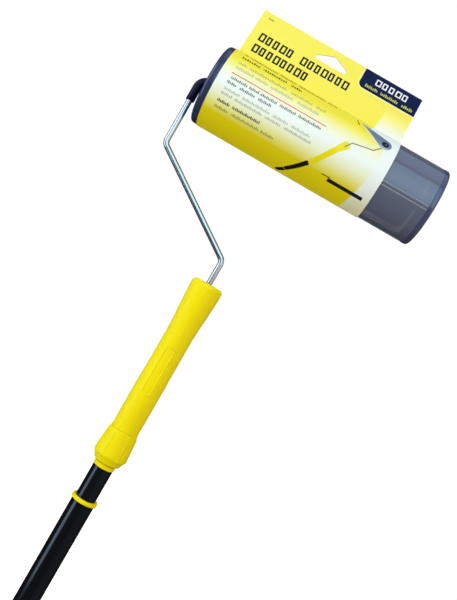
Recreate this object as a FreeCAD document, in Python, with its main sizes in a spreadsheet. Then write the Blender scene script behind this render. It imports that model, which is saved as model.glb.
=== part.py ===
"""Paint roller with a turning splatter shield, on a telescopic twist-lock pole.

The pole's axis is Z and the roller's axis runs along X above it.  The origin is the middle of the
hanging hole in the butt cap, at the foot of the pole.  All lengths are in millimetres.
"""
import FreeCAD, Part
import math
import os
import Sketcher

Vector = FreeCAD.Vector

# Driving dimensions.  Heights (the names that end in _z) are measured up from the hanging hole,
# and places along the roller (the names that end in _x) from the pole's axis.
DRIVING = {
    # gaps, measured on the radius: pressed, sliding, free-turning and loose pieces
    "press_gap": 0.05, "slide_gap": 0.1, "spin_gap": 0.075, "loose_gap": 0.3, "lead_in": 1.0,
    # outer tube, mouth ring and butt cap
    "tube_od": 25.4, "tube_wall": 0.9, "tube_foot_z": 15.0, "tube_mouth_z": 625.0,
    "ring_od": 29.0, "ring_height": 5.5, "ring_rounding": 1.2, "bush_depth": 38.0,
    "hang_hole": 8.0, "cap_thickness": 16.0, "cap_od": 25.0, "cap_plug": 22.0,
    "cap_shoulder": 6.0, "cap_tip": 1.5,
    # inner tube, its lock core, the cam ring and their fixings
    "inner_od": 22.2, "inner_wall": 0.9, "inner_foot_z": 95.0, "tip_ring_z": 666.0,
    "core_depth": 30.0, "core_flange": 2.5, "spindle_od": 11.2, "eccentric": 0.8,
    "cam_height": 14.0, "cam_play": 0.5, "slit_width": 2.0,
    "cam_washer_od": 18.8, "cam_washer_height": 1.6, "screw_od": 3.9, "screw_length": 14.0,
    "screw_point": 2.0, "screw_head_od": 8.0, "screw_head": 2.2, "screw_rim": 1.4,
    # tip insert
    "tip_ring_od": 23.4, "tip_ring_height": 4.5, "tip_bore": 12.0, "tip_plug": 26.0,
    "neck_od": 20.4, "neck_height": 5.0, "neck_shoulder": 1.2,
    "stem_od": 18.0, "stem_top_z": 740.0, "stem_chamfer": 1.5,
    # locking collar: diameters and heights of its cone, and its ribs
    "collar_foot_z": 672.0, "collar_foot_od": 28.8, "collar_skirt_od": 33.2, "collar_skirt": 5.5,
    "collar_max_od": 35.8, "collar_belt": 8.5, "collar_shoulder_od": 32.0, "collar_shoulder": 33.0,
    "collar_top_od": 30.4, "collar_bore": 26.0, "collar_floor": 5.0, "collar_gap": 0.5,
    "rib_width": 2.6, "rib_depth": 0.6, "rib_count": 6, "rib_low": 6.0, "rib_high": 35.4,
    "rib_root": 1.5,
    # grip: diameters and heights above its foot
    "grip_foot_z": 709.5, "grip_top_z": 884.4, "grip_foot_od": 30.2,
    "grip_land_od": 30.0, "grip_land_low": 10.0, "grip_land_high": 60.0,
    "grip_waist_od": 29.4, "waist_low": 68.0, "waist_high": 115.0,
    "flare_low_od": 30.6, "flare_low": 126.0, "flare_middle_od": 33.2, "flare_middle": 144.0,
    "flare_high_od": 34.9, "flare_high": 159.0, "grip_head_od": 35.4, "head_low": 166.0,
    "head_rounding": 4.5,
    "panel_low": 45.0, "panel_high": 99.0, "panel_width": 8.8, "panel_depth": 0.5,
    # core of the grip and the cross pin
    "core_od": 22.0, "core_inset": 3.0, "spigot_length": 30.0, "spigot_gap": 0.4,
    "socket_floor": 6.0, "pin_od": 3.0, "pin_length": 20.0, "pin_height": 30.0,
    # bent rod and its elbow sleeve
    "rod_od": 6.35, "rod_foot_z": 790.0, "low_bend_z": 912.2, "high_bend_z": 988.7,
    "rod_offset": 112.4, "roller_z": 1065.0, "rod_tip_x": 153.5,
    "bend_radius": 9.0, "elbow_radius": 10.0, "sleeve_od": 9.4, "sleeve_foot_z": 1039.1,
    "sleeve_tip_x": -90.5,
    # washers and push-on nut
    "washer_od": 14.0, "washer_height": 1.2, "nut_od": 13.0, "nut_neck_od": 9.2,
    "nut_height": 4.2, "nut_step": 0.4, "end_gap": 0.7,
    # splatter shield
    "shield_left_x": -102.4, "shield_right_x": 157.2, "shield_od": 85.4, "shield_wall": 1.8,
    "lip_bead": 2.5, "cap_rim_od": 86.1, "cap_depth": 8.8, "cap_rounding": 5.5, "cap_web": 2.0,
    "cap_fillet": 3.0, "skirt_depth": 6.0, "skirt_wall": 1.3, "hub_length": 6.0, "hub_wall": 2.6,
    "blind_web": 2.8, "mouth_y": 21.4,
    # roller cover and its wire cage
    "cover_left_x": -87.0, "cover_length": 229.0, "nap_od": 64.0, "nap_bevel": 6.0,
    "nap_break": 2.0, "core_bore": 38.1, "core_wall": 1.7, "wire_od": 2.4, "wire_count": 5,
    "plug_length": 12.0, "flange_height": 1.2, "flange_rim": 0.9, "disc_height": 4.0,
    # printed card sleeve
    "card_left_x": -94.0, "card_right_x": 98.3, "card_id": 86.5, "card_thick": 0.45,
    "header_length": 62.0, "header_lean": 20.0, "slot_x": -4.5, "slot_width": 37.0,
    "slot_height": 13.6, "slot_depth": 21.0, "slot_lobe": 3.1, "slot_tip": 4.2,
}


class Size:
    """A length, kept both as a number and as the spreadsheet formula that gives it."""

    def __init__(self, value, formula=None):
        self.value = float(value)
        self.formula = formula if formula else repr(float(value))

    def combine(self, other, sign, result):
        return Size(result, "(%s %s %s)" % (self.formula, sign, other.formula))

    def __add__(self, other):
        other = as_size(other)
        return self.combine(other, "+", self.value + other.value)

    def __sub__(self, other):
        other = as_size(other)
        return self.combine(other, "-", self.value - other.value)

    def __mul__(self, other):
        other = as_size(other)
        return self.combine(other, "*", self.value * other.value)

    def __truediv__(self, other):
        other = as_size(other)
        return self.combine(other, "/", self.value / other.value)

    def __neg__(self):
        return Size(-self.value, "(-1 * %s)" % self.formula)


def as_size(number):
    """A plain number as a Size; a Size comes back unchanged."""
    return number if isinstance(number, Size) else Size(number)


class Sizes:
    """The driving dimensions by name, each tied to its cell of the spreadsheet."""

    def __init__(self, sheet, driving):
        for row, (name, value) in enumerate(driving.items(), start=1):
            sheet.set("A%d" % row, name)
            sheet.set("B%d" % row, str(value))
            sheet.setAlias("B%d" % row, name)
            setattr(self, name, Size(value, "Sizes.%s" % name))


doc = FreeCAD.newDocument("PaintRoller")
sheet = doc.addObject("Spreadsheet::Sheet", "Sizes")
size = Sizes(sheet, DRIVING)
doc.recompute()

nodes = []

# Lengths that follow from the driving dimensions.
tube_bore = size.tube_od - size.tube_wall * 2
inner_bore = size.inner_od - size.inner_wall * 2
shield_length = size.shield_right_x - size.shield_left_x
cover_right_x = size.cover_left_x + size.cover_length
card_od = size.card_id + size.card_thick * 2
spindle_length = size.core_flange + size.cam_height + size.cam_play * 2
rod_bore = size.rod_od / 2 + size.press_gap


# --- helpers: bodies, sketches and features ---------------------------------------------------

def new_body(name):
    """A PartDesign body that becomes the node of that name."""
    body = doc.addObject("PartDesign::Body", name)
    body.Label = name
    return body


def keep(item):
    """List an object as one of the assembly's nodes."""
    nodes.append(item)
    return item


def sketch_on(body, role, name):
    """A new sketch on one of the body's own origin planes."""
    sketch = body.newObject("Sketcher::SketchObject", name)
    plane = [item for item in body.Origin.OriginFeatures if item.Role == role][0]
    sketch.AttachmentSupport = [(plane, "")]
    sketch.MapMode = "FlatFace"
    return sketch


def pin_point(sketch, line, end, across, up):
    """Hold one end of a line at (across, up) from the sketch's origin."""
    for kind, axis, distance in (("DistanceX", -2, across), ("DistanceY", -1, up)):
        if abs(distance.value) < 1e-9:
            sketch.addConstraint(Sketcher.Constraint("PointOnObject", line, end, axis))
            continue
        index = sketch.addConstraint(Sketcher.Constraint(kind, -1, 1, line, end, distance.value))
        sketch.setExpression("Constraints[%d]" % index, distance.formula)


def draw_outline(sketch, points, closed=True):
    """Straight lines through the points, each point held by two dimensions."""
    points = [(as_size(across), as_size(up)) for across, up in points]
    spots = [Vector(across.value, up.value, 0) for across, up in points]
    last = len(points) if closed else len(points) - 1
    first_line = sketch.GeometryCount
    for index in range(last):
        sketch.addGeometry(Part.LineSegment(spots[index], spots[(index + 1) % len(spots)]), False)
    for index in range(last - 1 + int(closed)):
        follower = first_line + (index + 1) % last
        sketch.addConstraint(Sketcher.Constraint("Coincident", first_line + index, 2, follower, 1))
    for index in range(last):
        pin_point(sketch, first_line + index, 1, *points[index])
    if not closed:
        pin_point(sketch, first_line + last - 1, 2, *points[-1])
    return spots


def draw_circle(sketch, diameter, across=0, up=0):
    """A circle of the given diameter, centred at (across, up)."""
    across = as_size(across)
    up = as_size(up)
    circle = sketch.addGeometry(
        Part.Circle(Vector(across.value, up.value, 0), Vector(0, 0, 1), diameter.value / 2), False)
    pin_point(sketch, circle, 3, across, up)
    index = sketch.addConstraint(Sketcher.Constraint("Radius", circle, diameter.value / 2))
    sketch.setExpression("Constraints[%d]" % index, (diameter / 2).formula)


def pad(body, sketch, length, name="Pad"):
    """Raise a closed sketch by a length along its normal."""
    length = as_size(length)
    feature = body.newObject("PartDesign::Pad", name)
    feature.Profile = sketch
    feature.Length = length.value
    feature.setExpression("Length", length.formula)
    return feature


def cut_through(body, sketch, name="Cut"):
    """Cut a closed sketch through the whole body, both ways."""
    feature = body.newObject("PartDesign::Pocket", name)
    feature.Profile = sketch
    feature.Type = "ThroughAll"
    feature.Midplane = True
    return feature


def turn(body, profile, name="Turned"):
    """Revolve an outline of (radius, height) points about the body's Z axis."""
    sketch = sketch_on(body, "XZ_Plane", name + "Profile")
    draw_outline(sketch, profile)
    feature = body.newObject("PartDesign::Revolution", name)
    feature.Profile = sketch
    feature.ReferenceAxis = (sketch, ["V_Axis"])
    feature.Angle = 360
    return feature


def ring_edges(shape, radius, height):
    """Names of the circular edges of that radius that lie at that height."""
    found = []
    for number, edge in enumerate(shape.Edges, start=1):
        curve = edge.Curve
        if not isinstance(curve, Part.Circle):
            continue
        if abs(curve.Radius - radius) < 1e-3 and abs(curve.Center.z - height) < 1e-3:
            found.append("Edge%d" % number)
    return found


def round_ring(body, base, diameter, height, rounding, name):
    """Round the circular edges of a diameter at a height."""
    doc.recompute()
    rounding = as_size(rounding)
    edges = ring_edges(base.Shape, as_size(diameter).value / 2, as_size(height).value)
    feature = body.newObject("PartDesign::Fillet", name)
    feature.Base = (base, edges)
    feature.Radius = rounding.value
    feature.setExpression("Radius", rounding.formula)
    return feature


def repeat_round(body, feature, count, name="Pattern"):
    """Repeat a feature evenly about the body's Z axis."""
    pattern = body.newObject("PartDesign::PolarPattern", name)
    pattern.Originals = [feature]
    axis = [item for item in body.Origin.OriginFeatures if item.Role == "Z_Axis"][0]
    pattern.Axis = (axis, [""])
    pattern.Angle = 360
    pattern.Occurrences = int(count.value)
    pattern.setExpression("Occurrences", count.formula)
    body.Tip = pattern
    return pattern


def stand_on_pole(item, height=0):
    """Place an object on the pole's axis at a height."""
    height = as_size(height)
    item.Placement = FreeCAD.Placement(Vector(0, 0, height.value), FreeCAD.Rotation())
    item.setExpression("Placement.Base.z", height.formula)


def lie_on_roller(item, along):
    """Place an object so that its own Z runs along the roller's axis, starting at a place on X."""
    along = as_size(along)
    turned = FreeCAD.Rotation(Vector(0, 1, 0), 90)
    item.Placement = FreeCAD.Placement(Vector(along.value, 0, size.roller_z.value), turned)
    item.setExpression("Placement.Base.x", along.formula)
    item.setExpression("Placement.Base.z", size.roller_z.formula)


def turned_piece(name, profile):
    """A node that is one turned solid."""
    body = new_body(name)
    turn(body, profile)
    return keep(body)


def ring_profile(outer, inner, low, high):
    """The outline of a plain ring between two heights, from its two diameters."""
    return [(inner / 2, low), (outer / 2, low), (outer / 2, high), (inner / 2, high)]


# --- the pole's outer tube --------------------------------------------------------------------

def make_outer_tube():
    """The long outer tube of the pole."""
    height = size.tube_mouth_z - size.tube_foot_z
    body = turned_piece("outer_tube", ring_profile(size.tube_od, tube_bore, Size(0), height))
    stand_on_pole(body, size.tube_foot_z)


def make_mouth_ring():
    """The guide bush at the tube's mouth: a ring outside and a thin sleeve inside."""
    guide = size.inner_od + size.slide_gap * 2
    sleeve = tube_bore - size.press_gap * 2
    body = new_body("mouth_ring")
    base = turn(body, [
        (guide / 2, -size.bush_depth), (sleeve / 2, -size.bush_depth), (sleeve / 2, 0),
        (size.ring_od / 2, 0), (size.ring_od / 2, size.ring_height), (guide / 2, size.ring_height)])
    round_ring(body, base, size.ring_od, size.ring_height, size.ring_rounding, "TopRound")
    keep(body)
    stand_on_pole(body, size.tube_mouth_z)


def make_butt_cap():
    """The plug at the pole's foot, flattened on two sides and bored to hang the pole up."""
    radius = size.cap_od / 2
    plug = tube_bore / 2 - size.press_gap
    plug_top = size.tube_foot_z + size.cap_plug
    body = new_body("butt_cap")
    base = turn(body, [
        (0, -radius), (radius, -radius), (radius, size.tube_foot_z),
        (plug, size.tube_foot_z), (plug, plug_top), (plug - size.lead_in, plug_top + size.lead_in),
        (0, plug_top + size.lead_in)])
    round_ring(body, base, size.cap_od, -radius, radius - size.cap_tip, "Dome")
    flats = sketch_on(body, "YZ_Plane", "Flats")
    for side in (-1, 1):
        inner_edge = size.cap_thickness / 2 * side
        outer_edge = size.cap_od * side
        low = -size.cap_od
        high = size.tube_foot_z - size.cap_shoulder
        draw_outline(flats, [
            (inner_edge, low), (outer_edge, low), (outer_edge, high), (inner_edge, high)])
    cut_through(body, flats, "Flatten")
    hole = sketch_on(body, "XZ_Plane", "HoleProfile")
    draw_circle(hole, size.hang_hole)
    cut_through(body, hole, "HangHole")
    keep(body)


# --- the cam lock and the inner tube ----------------------------------------------------------

def make_cam_ring():
    """The split ring that wedges in the outer tube when the eccentric spindle turns in it."""
    outer = tube_bore - size.loose_gap
    inner = size.spindle_od + size.eccentric * 2 + size.slide_gap * 4
    half_slit = size.slit_width / 2
    body = new_body("cam_ring")
    turn(body, ring_profile(outer, inner, Size(0), size.cam_height))
    slit = sketch_on(body, "XY_Plane", "Slit")
    draw_outline(slit, [(0, -half_slit), (outer, -half_slit), (outer, half_slit), (0, half_slit)])
    cut_through(body, slit, "SlitCut")
    keep(body)
    stand_on_pole(body, size.inner_foot_z - size.core_flange - size.cam_height - size.cam_play)


def make_inner_tube():
    """The tube that slides out of the pole."""
    height = size.tip_ring_z - size.inner_foot_z
    body = turned_piece("inner_tube", ring_profile(size.inner_od, inner_bore, Size(0), height))
    stand_on_pole(body, size.inner_foot_z)


def make_lock_core():
    """The plug in the inner tube's foot, with the eccentric spindle that carries the cam ring."""
    plug = inner_bore / 2 - size.press_gap
    flange = size.inner_od / 2 - size.slide_gap
    body = new_body("lock_core")
    turn(body, [
        (0, -size.core_flange), (flange, -size.core_flange), (flange, 0), (plug, 0),
        (plug, size.core_depth), (0, size.core_depth)])
    spindle = sketch_on(body, "XY_Plane", "SpindleProfile")
    draw_circle(spindle, size.spindle_od, size.eccentric, 0)
    raised = pad(body, spindle, spindle_length, "Spindle")
    raised.Reversed = True
    bore = sketch_on(body, "XY_Plane", "ScrewBore")
    draw_circle(bore, size.screw_od + size.press_gap * 2, size.eccentric, 0)
    bored = body.newObject("PartDesign::Pocket", "ScrewHole")
    bored.Profile = bore
    bored.Type = "ThroughAll"
    keep(body)
    stand_on_pole(body, size.inner_foot_z)


def make_core_fixings():
    """The washer and the screw that keep the cam ring on its spindle."""
    under = -size.cam_washer_height
    head = size.screw_head_od / 2
    shank = size.screw_od / 2
    crown = under - size.screw_head
    washer = turned_piece("cam_washer", ring_profile(
        size.cam_washer_od, size.screw_od + size.loose_gap, under, Size(0)))
    screw = turned_piece("cam_screw", [
        (0, crown), (head - size.lead_in, crown), (head, under - size.screw_rim), (head, under),
        (shank, under), (shank, size.screw_length), (0, size.screw_length + size.screw_point)])
    for item in (washer, screw):
        stand_on_pole(item, size.inner_foot_z - spindle_length)
        item.setExpression("Placement.Base.x", size.eccentric.formula)


def make_tip_insert():
    """The plug at the inner tube's top: a thin ring, a neck, and the stem that carries the grip."""
    plug = inner_bore / 2 - size.press_gap
    bore = size.tip_bore / 2
    ring = size.tip_ring_od / 2
    neck = size.neck_od / 2
    stem = size.stem_od / 2
    neck_top = size.tip_ring_height + size.neck_height
    stem_top = size.stem_top_z - size.tip_ring_z
    body = turned_piece("tip_insert", [
        (bore, -size.tip_plug), (plug, -size.tip_plug), (plug, 0), (ring, 0),
        (ring, size.tip_ring_height), (neck, size.tip_ring_height), (neck, neck_top),
        (stem, neck_top + size.neck_shoulder), (stem, stem_top - size.stem_chamfer),
        (stem - size.stem_chamfer, stem_top), (bore, stem_top)])
    stand_on_pole(body, size.tip_ring_z)


# --- the collar and the grip ------------------------------------------------------------------

def make_lock_collar():
    """The ribbed cone that locks the grip to the pole's tip."""
    height = size.grip_foot_z - size.collar_foot_z
    floor_bore = size.neck_od / 2 + size.collar_gap
    bore = size.collar_bore / 2
    skirt = size.collar_skirt_od / 2
    widest = size.collar_max_od / 2
    shoulder = size.collar_shoulder_od / 2
    body = new_body("lock_collar")
    turn(body, [
        (floor_bore, 0), (size.collar_foot_od / 2, 0), (skirt, size.collar_skirt),
        (widest, size.collar_belt), (shoulder, size.collar_shoulder),
        (size.collar_top_od / 2, height), (bore, height), (bore, size.collar_floor),
        (floor_bore, size.collar_floor)])
    rib = sketch_on(body, "XZ_Plane", "RibProfile")
    proud = size.rib_depth
    draw_outline(rib, [
        (skirt - size.rib_root, size.rib_low), (widest + proud / 2, size.rib_low),
        (widest + proud, size.collar_belt), (shoulder + proud, size.collar_shoulder),
        (shoulder - size.rib_root, size.rib_high)])
    bar = pad(body, rib, size.rib_width, "Rib")
    bar.Midplane = True
    repeat_round(body, bar, size.rib_count)
    keep(body)
    stand_on_pole(body, size.collar_foot_z)


def make_grip():
    """The long moulded grip, waisted in the middle and flared at its head."""
    foot = size.grip_foot_z
    top = size.grip_top_z - foot
    waist = size.grip_waist_od / 2
    head = size.grip_head_od / 2
    land = size.grip_land_od / 2
    bore = size.core_od / 2 + size.press_gap
    body = new_body("grip")
    base = turn(body, [
        (bore, 0), (size.grip_foot_od / 2, 0), (land, size.grip_land_low),
        (land, size.grip_land_high), (waist, size.waist_low), (waist, size.waist_high),
        (size.flare_low_od / 2, size.flare_low), (size.flare_middle_od / 2, size.flare_middle),
        (size.flare_high_od / 2, size.flare_high), (head, size.head_low), (head, top), (bore, top)])
    round_ring(body, base, size.grip_head_od, top, size.head_rounding, "HeadRound")
    floor = waist - size.panel_depth
    panel = sketch_on(body, "XZ_Plane", "PanelProfile")
    panel.AttachmentOffset = FreeCAD.Placement(Vector(0, 0, floor.value), FreeCAD.Rotation())
    panel.setExpression("AttachmentOffset.Base.z", floor.formula)
    side = size.panel_width / 2
    draw_outline(panel, [
        (-side, size.panel_low), (side, size.panel_low), (side, size.panel_high),
        (-side, size.panel_high)])
    recess = body.newObject("PartDesign::Pocket", "Panel")
    recess.Profile = panel
    recess.Type = "ThroughAll"
    recess.Reversed = True
    keep(body)
    stand_on_pole(body, foot)


def make_grip_core():
    """The hard core inside the grip: a socket for the stem below and one for the rod above."""
    foot = size.grip_foot_z
    core = size.core_od / 2
    spigot = size.collar_bore / 2 - size.spigot_gap
    socket = size.stem_od / 2 + size.loose_gap
    top = size.grip_top_z - foot - size.core_inset
    rod_seat = size.rod_foot_z - foot
    body = new_body("grip_core")
    turn(body, [
        (socket, -size.spigot_length), (spigot, -size.spigot_length), (spigot, 0), (core, 0),
        (core, top), (rod_bore, top), (rod_bore, rod_seat), (socket, rod_seat - size.socket_floor)])
    cut_pin_hole(body, rod_seat + size.pin_height)
    keep(body)
    stand_on_pole(body, foot)


def cut_pin_hole(body, height):
    """Drill the cross pin's hole through a body, from front to back."""
    cross = sketch_on(body, "XZ_Plane", "CrossHole")
    draw_circle(cross, size.pin_od + size.press_gap * 2, 0, height)
    cut_through(body, cross, "CrossCut")


def make_rod_pin():
    """The cross pin that holds the rod in the core."""
    pin = doc.addObject("Part::Cylinder", "rod_pin")
    pin.Label = "rod_pin"
    pin.setExpression("Radius", (size.pin_od / 2).formula)
    pin.setExpression("Height", size.pin_length.formula)
    back = size.pin_length / 2
    height = size.rod_foot_z + size.pin_height
    pin.Placement = FreeCAD.Placement(
        Vector(0, back.value, height.value), FreeCAD.Rotation(Vector(1, 0, 0), 90))
    pin.setExpression("Placement.Base.y", back.formula)
    pin.setExpression("Placement.Base.z", height.formula)
    keep(pin)


# --- the bent rod -----------------------------------------------------------------------------

def bent_path(body, corners, radii):
    """An open path in the body's XZ plane, with a tangent arc at each inner corner."""
    sketch = sketch_on(body, "XZ_Plane", "Path")
    spots = draw_outline(sketch, corners, closed=False)
    for index, radius in enumerate(radii):
        before = (spots[index] + spots[index + 1]) * 0.5
        after = (spots[index + 1] + spots[index + 2]) * 0.5
        arc = sketch.GeometryCount
        sketch.fillet(index, index + 1, before, after, radius.value, True, True)
        held = sketch.addConstraint(Sketcher.Constraint("Radius", arc, radius.value))
        sketch.setExpression("Constraints[%d]" % held, radius.formula)
    return sketch


def pipe(body, profile, path, name="Pipe"):
    """Sweep a closed sketch along a path."""
    feature = body.newObject("PartDesign::AdditivePipe", name)
    feature.Profile = profile
    feature.Spine = path
    return feature


def make_rod():
    """The bent rod: up out of the grip, across to the left, up again and along the roller."""
    left = -size.rod_offset
    rise = size.rod_foot_z
    body = new_body("rod")
    path = bent_path(body, [
        (0, 0), (0, size.low_bend_z - rise), (left, size.high_bend_z - rise),
        (left, size.roller_z - rise), (size.rod_tip_x, size.roller_z - rise)],
        [size.bend_radius, size.bend_radius, size.elbow_radius])
    profile = sketch_on(body, "XY_Plane", "Section")
    draw_circle(profile, size.rod_od)
    pipe(body, profile, path)
    cut_pin_hole(body, size.pin_height)
    keep(body)
    stand_on_pole(body, rise)


def make_elbow_sleeve():
    """The plastic sleeve round the rod's elbow; its level end is the shield's left journal."""
    left = -size.rod_offset
    rise = size.sleeve_foot_z
    body = new_body("elbow_sleeve")
    path = bent_path(body, [
        (0, 0), (0, size.roller_z - rise), (size.sleeve_tip_x - left, size.roller_z - rise)],
        [size.elbow_radius])
    profile = sketch_on(body, "XY_Plane", "Section")
    draw_circle(profile, size.sleeve_od)
    draw_circle(profile, size.rod_od + size.press_gap)
    pipe(body, profile, path)
    keep(body)
    body.Placement = FreeCAD.Placement(Vector(left.value, 0, rise.value), FreeCAD.Rotation())
    body.setExpression("Placement.Base.x", left.formula)
    body.setExpression("Placement.Base.z", rise.formula)


def make_rod_fittings():
    """What is threaded on the level part of the rod: two washers and the push-on nut."""
    washer = ring_profile(size.washer_od, rod_bore * 2, Size(0), size.washer_height)
    right_place = cover_right_x + size.end_gap
    for name, place in (
            ("left_washer", size.sleeve_tip_x + size.slide_gap), ("right_washer", right_place)):
        lie_on_roller(turned_piece(name, washer), place)
    brim = size.nut_od / 2
    neck = size.nut_neck_od / 2
    nut = turned_piece("push_nut", [
        (rod_bore, 0), (brim, 0), (brim, size.washer_height),
        (neck, size.washer_height + size.nut_step), (neck, size.nut_height),
        (rod_bore, size.nut_height)])
    lie_on_roller(nut, right_place + size.washer_height + size.slide_gap)


# --- the splatter shield ----------------------------------------------------------------------

def sector_outline(sketch, outer, inner, start, stop):
    """A closed ring sector; angles in degrees from the shield's front line, up positive."""
    def spot(radius, degrees):
        turned = math.radians(degrees)
        return Vector(-radius * math.sin(turned), -radius * math.cos(turned), 0)

    middle = (start + stop) / 2
    for radius in (outer, inner):
        sketch.addGeometry(Part.Arc(
            spot(radius, start), spot(radius, middle), spot(radius, stop)), False)
    for degrees in (start, stop):
        sketch.addGeometry(Part.LineSegment(spot(outer, degrees), spot(inner, degrees)), False)


def make_shield_shell(name, side):
    """One half of the shield's curved wall, from its front seam to the lip at its mouth."""
    outer = size.shield_od.value / 2
    inner = outer - size.shield_wall.value
    seam = math.degrees(size.press_gap.value / outer)
    lip = math.degrees(math.acos(-size.mouth_y.value / outer))
    body = new_body(name)
    wall = sketch_on(body, "XY_Plane", "WallSection")
    sector_outline(wall, outer, inner, side * seam, side * lip)
    length = shield_length - size.cap_depth * 2
    pad(body, wall, length, "Wall")
    bead = sketch_on(body, "XY_Plane", "LipSection")
    turned = math.radians(side * lip)
    middle = (outer + inner) / 2
    draw_circle(bead, size.lip_bead, -middle * math.sin(turned), -middle * math.cos(turned))
    pad(body, bead, length, "Lip")
    keep(body)
    lie_on_roller(body, size.shield_left_x + size.cap_depth)


def make_shield_end(name, place, hub, mirrored):
    """One end of the shield: a round pan with a hub, cut off flat along the shield's mouth."""
    rim = size.cap_rim_od / 2
    skirt = size.shield_od / 2 - size.shield_wall - size.slide_gap
    skirt_end = size.cap_depth + size.skirt_depth
    inside = skirt - size.skirt_wall
    outer_hub = size.sleeve_od / 2 + size.hub_wall
    profile = [
        (rim, 0), (rim, size.cap_depth), (skirt, size.cap_depth), (skirt, skirt_end),
        (inside, skirt_end), (inside, size.cap_web + size.cap_fillet),
        (inside - size.cap_fillet, size.cap_web), (outer_hub + size.lead_in, size.cap_web),
        (outer_hub, size.cap_web + size.hub_length)] + hub
    body = new_body(name)
    base = turn(body, profile)
    round_ring(body, base, size.cap_rim_od, 0, size.cap_rounding, "RimRound")
    mouth = sketch_on(body, "XY_Plane", "Mouth")
    wide = size.cap_rim_od
    draw_outline(mouth, [
        (-wide, size.mouth_y), (wide, size.mouth_y), (wide, wide), (-wide, wide)])
    cut_through(body, mouth, "MouthCut")
    keep(body)
    lie_on_roller(body, place)
    if mirrored:
        body.Placement = FreeCAD.Placement(
            body.Placement.Base, FreeCAD.Rotation(Vector(0, 1, 0), -90))


def make_shield():
    """The two half shells, the left end with its open hub and the right end with its blind one."""
    make_shield_shell("shield_upper_shell", 1)
    make_shield_shell("shield_lower_shell", -1)
    hub_face = size.cap_web + size.hub_length
    journal = size.sleeve_od / 2 + size.slide_gap
    tip_socket = size.rod_od / 2 + size.slide_gap
    open_hub = [(journal, hub_face), (journal, 0)]
    blind_hub = [(tip_socket, hub_face), (tip_socket, size.blind_web), (0, size.blind_web), (0, 0)]
    make_shield_end("shield_left_end", size.shield_left_x, open_hub, False)
    make_shield_end("shield_right_end", size.shield_right_x, blind_hub, True)


# --- the roller -------------------------------------------------------------------------------

def make_cage():
    """The sprung wire cage that grips the cover and turns on the rod."""
    plug_radius = size.core_bore / 2 - size.slide_gap
    bore = size.rod_od / 2 + size.spin_gap
    orbit = plug_radius - size.wire_od / 2 - size.slide_gap * 2
    plug = [
        (bore, 0), (plug_radius, 0), (plug_radius, size.plug_length - size.lead_in),
        (plug_radius - size.lead_in, size.plug_length), (bore, size.plug_length)]
    flange = plug_radius + size.flange_rim
    stop_plug = [
        (bore, -size.flange_height), (flange, -size.flange_height), (flange, -size.press_gap),
        (plug_radius, -size.press_gap)] + plug[2:]
    lie_on_roller(turned_piece("cage_left_plug", stop_plug), size.cover_left_x)
    right = turned_piece("cage_right_plug", plug)
    lie_on_roller(right, cover_right_x)
    right.Placement = FreeCAD.Placement(
        right.Placement.Base, FreeCAD.Rotation(Vector(0, 1, 0), -90))
    hub = orbit - size.wire_od / 2 - size.press_gap
    half_disc = size.disc_height / 2
    disc = turned_piece("cage_middle_disc", ring_profile(hub * 2, bore * 2, -half_disc, half_disc))
    lie_on_roller(disc, size.cover_left_x + size.cover_length / 2)

    wires = new_body("cage_wires")
    section = sketch_on(wires, "XY_Plane", "WireSection")
    draw_circle(section, size.wire_od, orbit, 0)
    wire = pad(wires, section, size.cover_length - size.plug_length * 2, "Wire")
    repeat_round(wires, wire, size.wire_count)
    keep(wires)
    lie_on_roller(wires, size.cover_left_x + size.plug_length)


def make_cover():
    """The roller cover: a stiff tube and the napped fabric round it."""
    core_od = size.core_bore + size.core_wall * 2
    far = size.cover_length
    core = turned_piece("cover_core", ring_profile(core_od, size.core_bore, Size(0), far))
    lie_on_roller(core, size.cover_left_x)
    inner = core_od / 2 + size.press_gap
    outer = size.nap_od / 2
    edge = outer - size.nap_break
    nap = turned_piece("cover_nap", [
        (inner, 0), (outer - size.nap_bevel, 0), (edge, size.nap_break), (outer, size.nap_bevel),
        (outer, far - size.nap_bevel), (edge, far - size.nap_break), (outer - size.nap_bevel, far),
        (inner, far)])
    lie_on_roller(nap, size.cover_left_x)


# --- the printed card -------------------------------------------------------------------------

def tangent_loop(circles):
    """The closed outline round three or more circles, given anticlockwise as (x, y, radius)."""
    joins = []
    for index, (x1, y1, r1) in enumerate(circles):
        x2, y2, r2 = circles[(index + 1) % len(circles)]
        run = math.hypot(x2 - x1, y2 - y1)
        heading = math.atan2(y2 - y1, x2 - x1) - math.acos((r1 - r2) / run)
        normal = Vector(math.cos(heading), math.sin(heading), 0)
        joins.append((Vector(x1, y1, 0) + normal * r1, Vector(x2, y2, 0) + normal * r2, normal))
    outline = []
    for index, (x, y, radius) in enumerate(circles):
        arrive = joins[index - 1]
        leave = joins[index]
        outward = (arrive[2] + leave[2]).normalize()
        middle = Vector(x, y, 0) + outward * radius
        outline.append(Part.Arc(arrive[1], middle, leave[0]))
        outline.append(Part.LineSegment(leave[0], leave[1]))
    return outline


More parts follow.
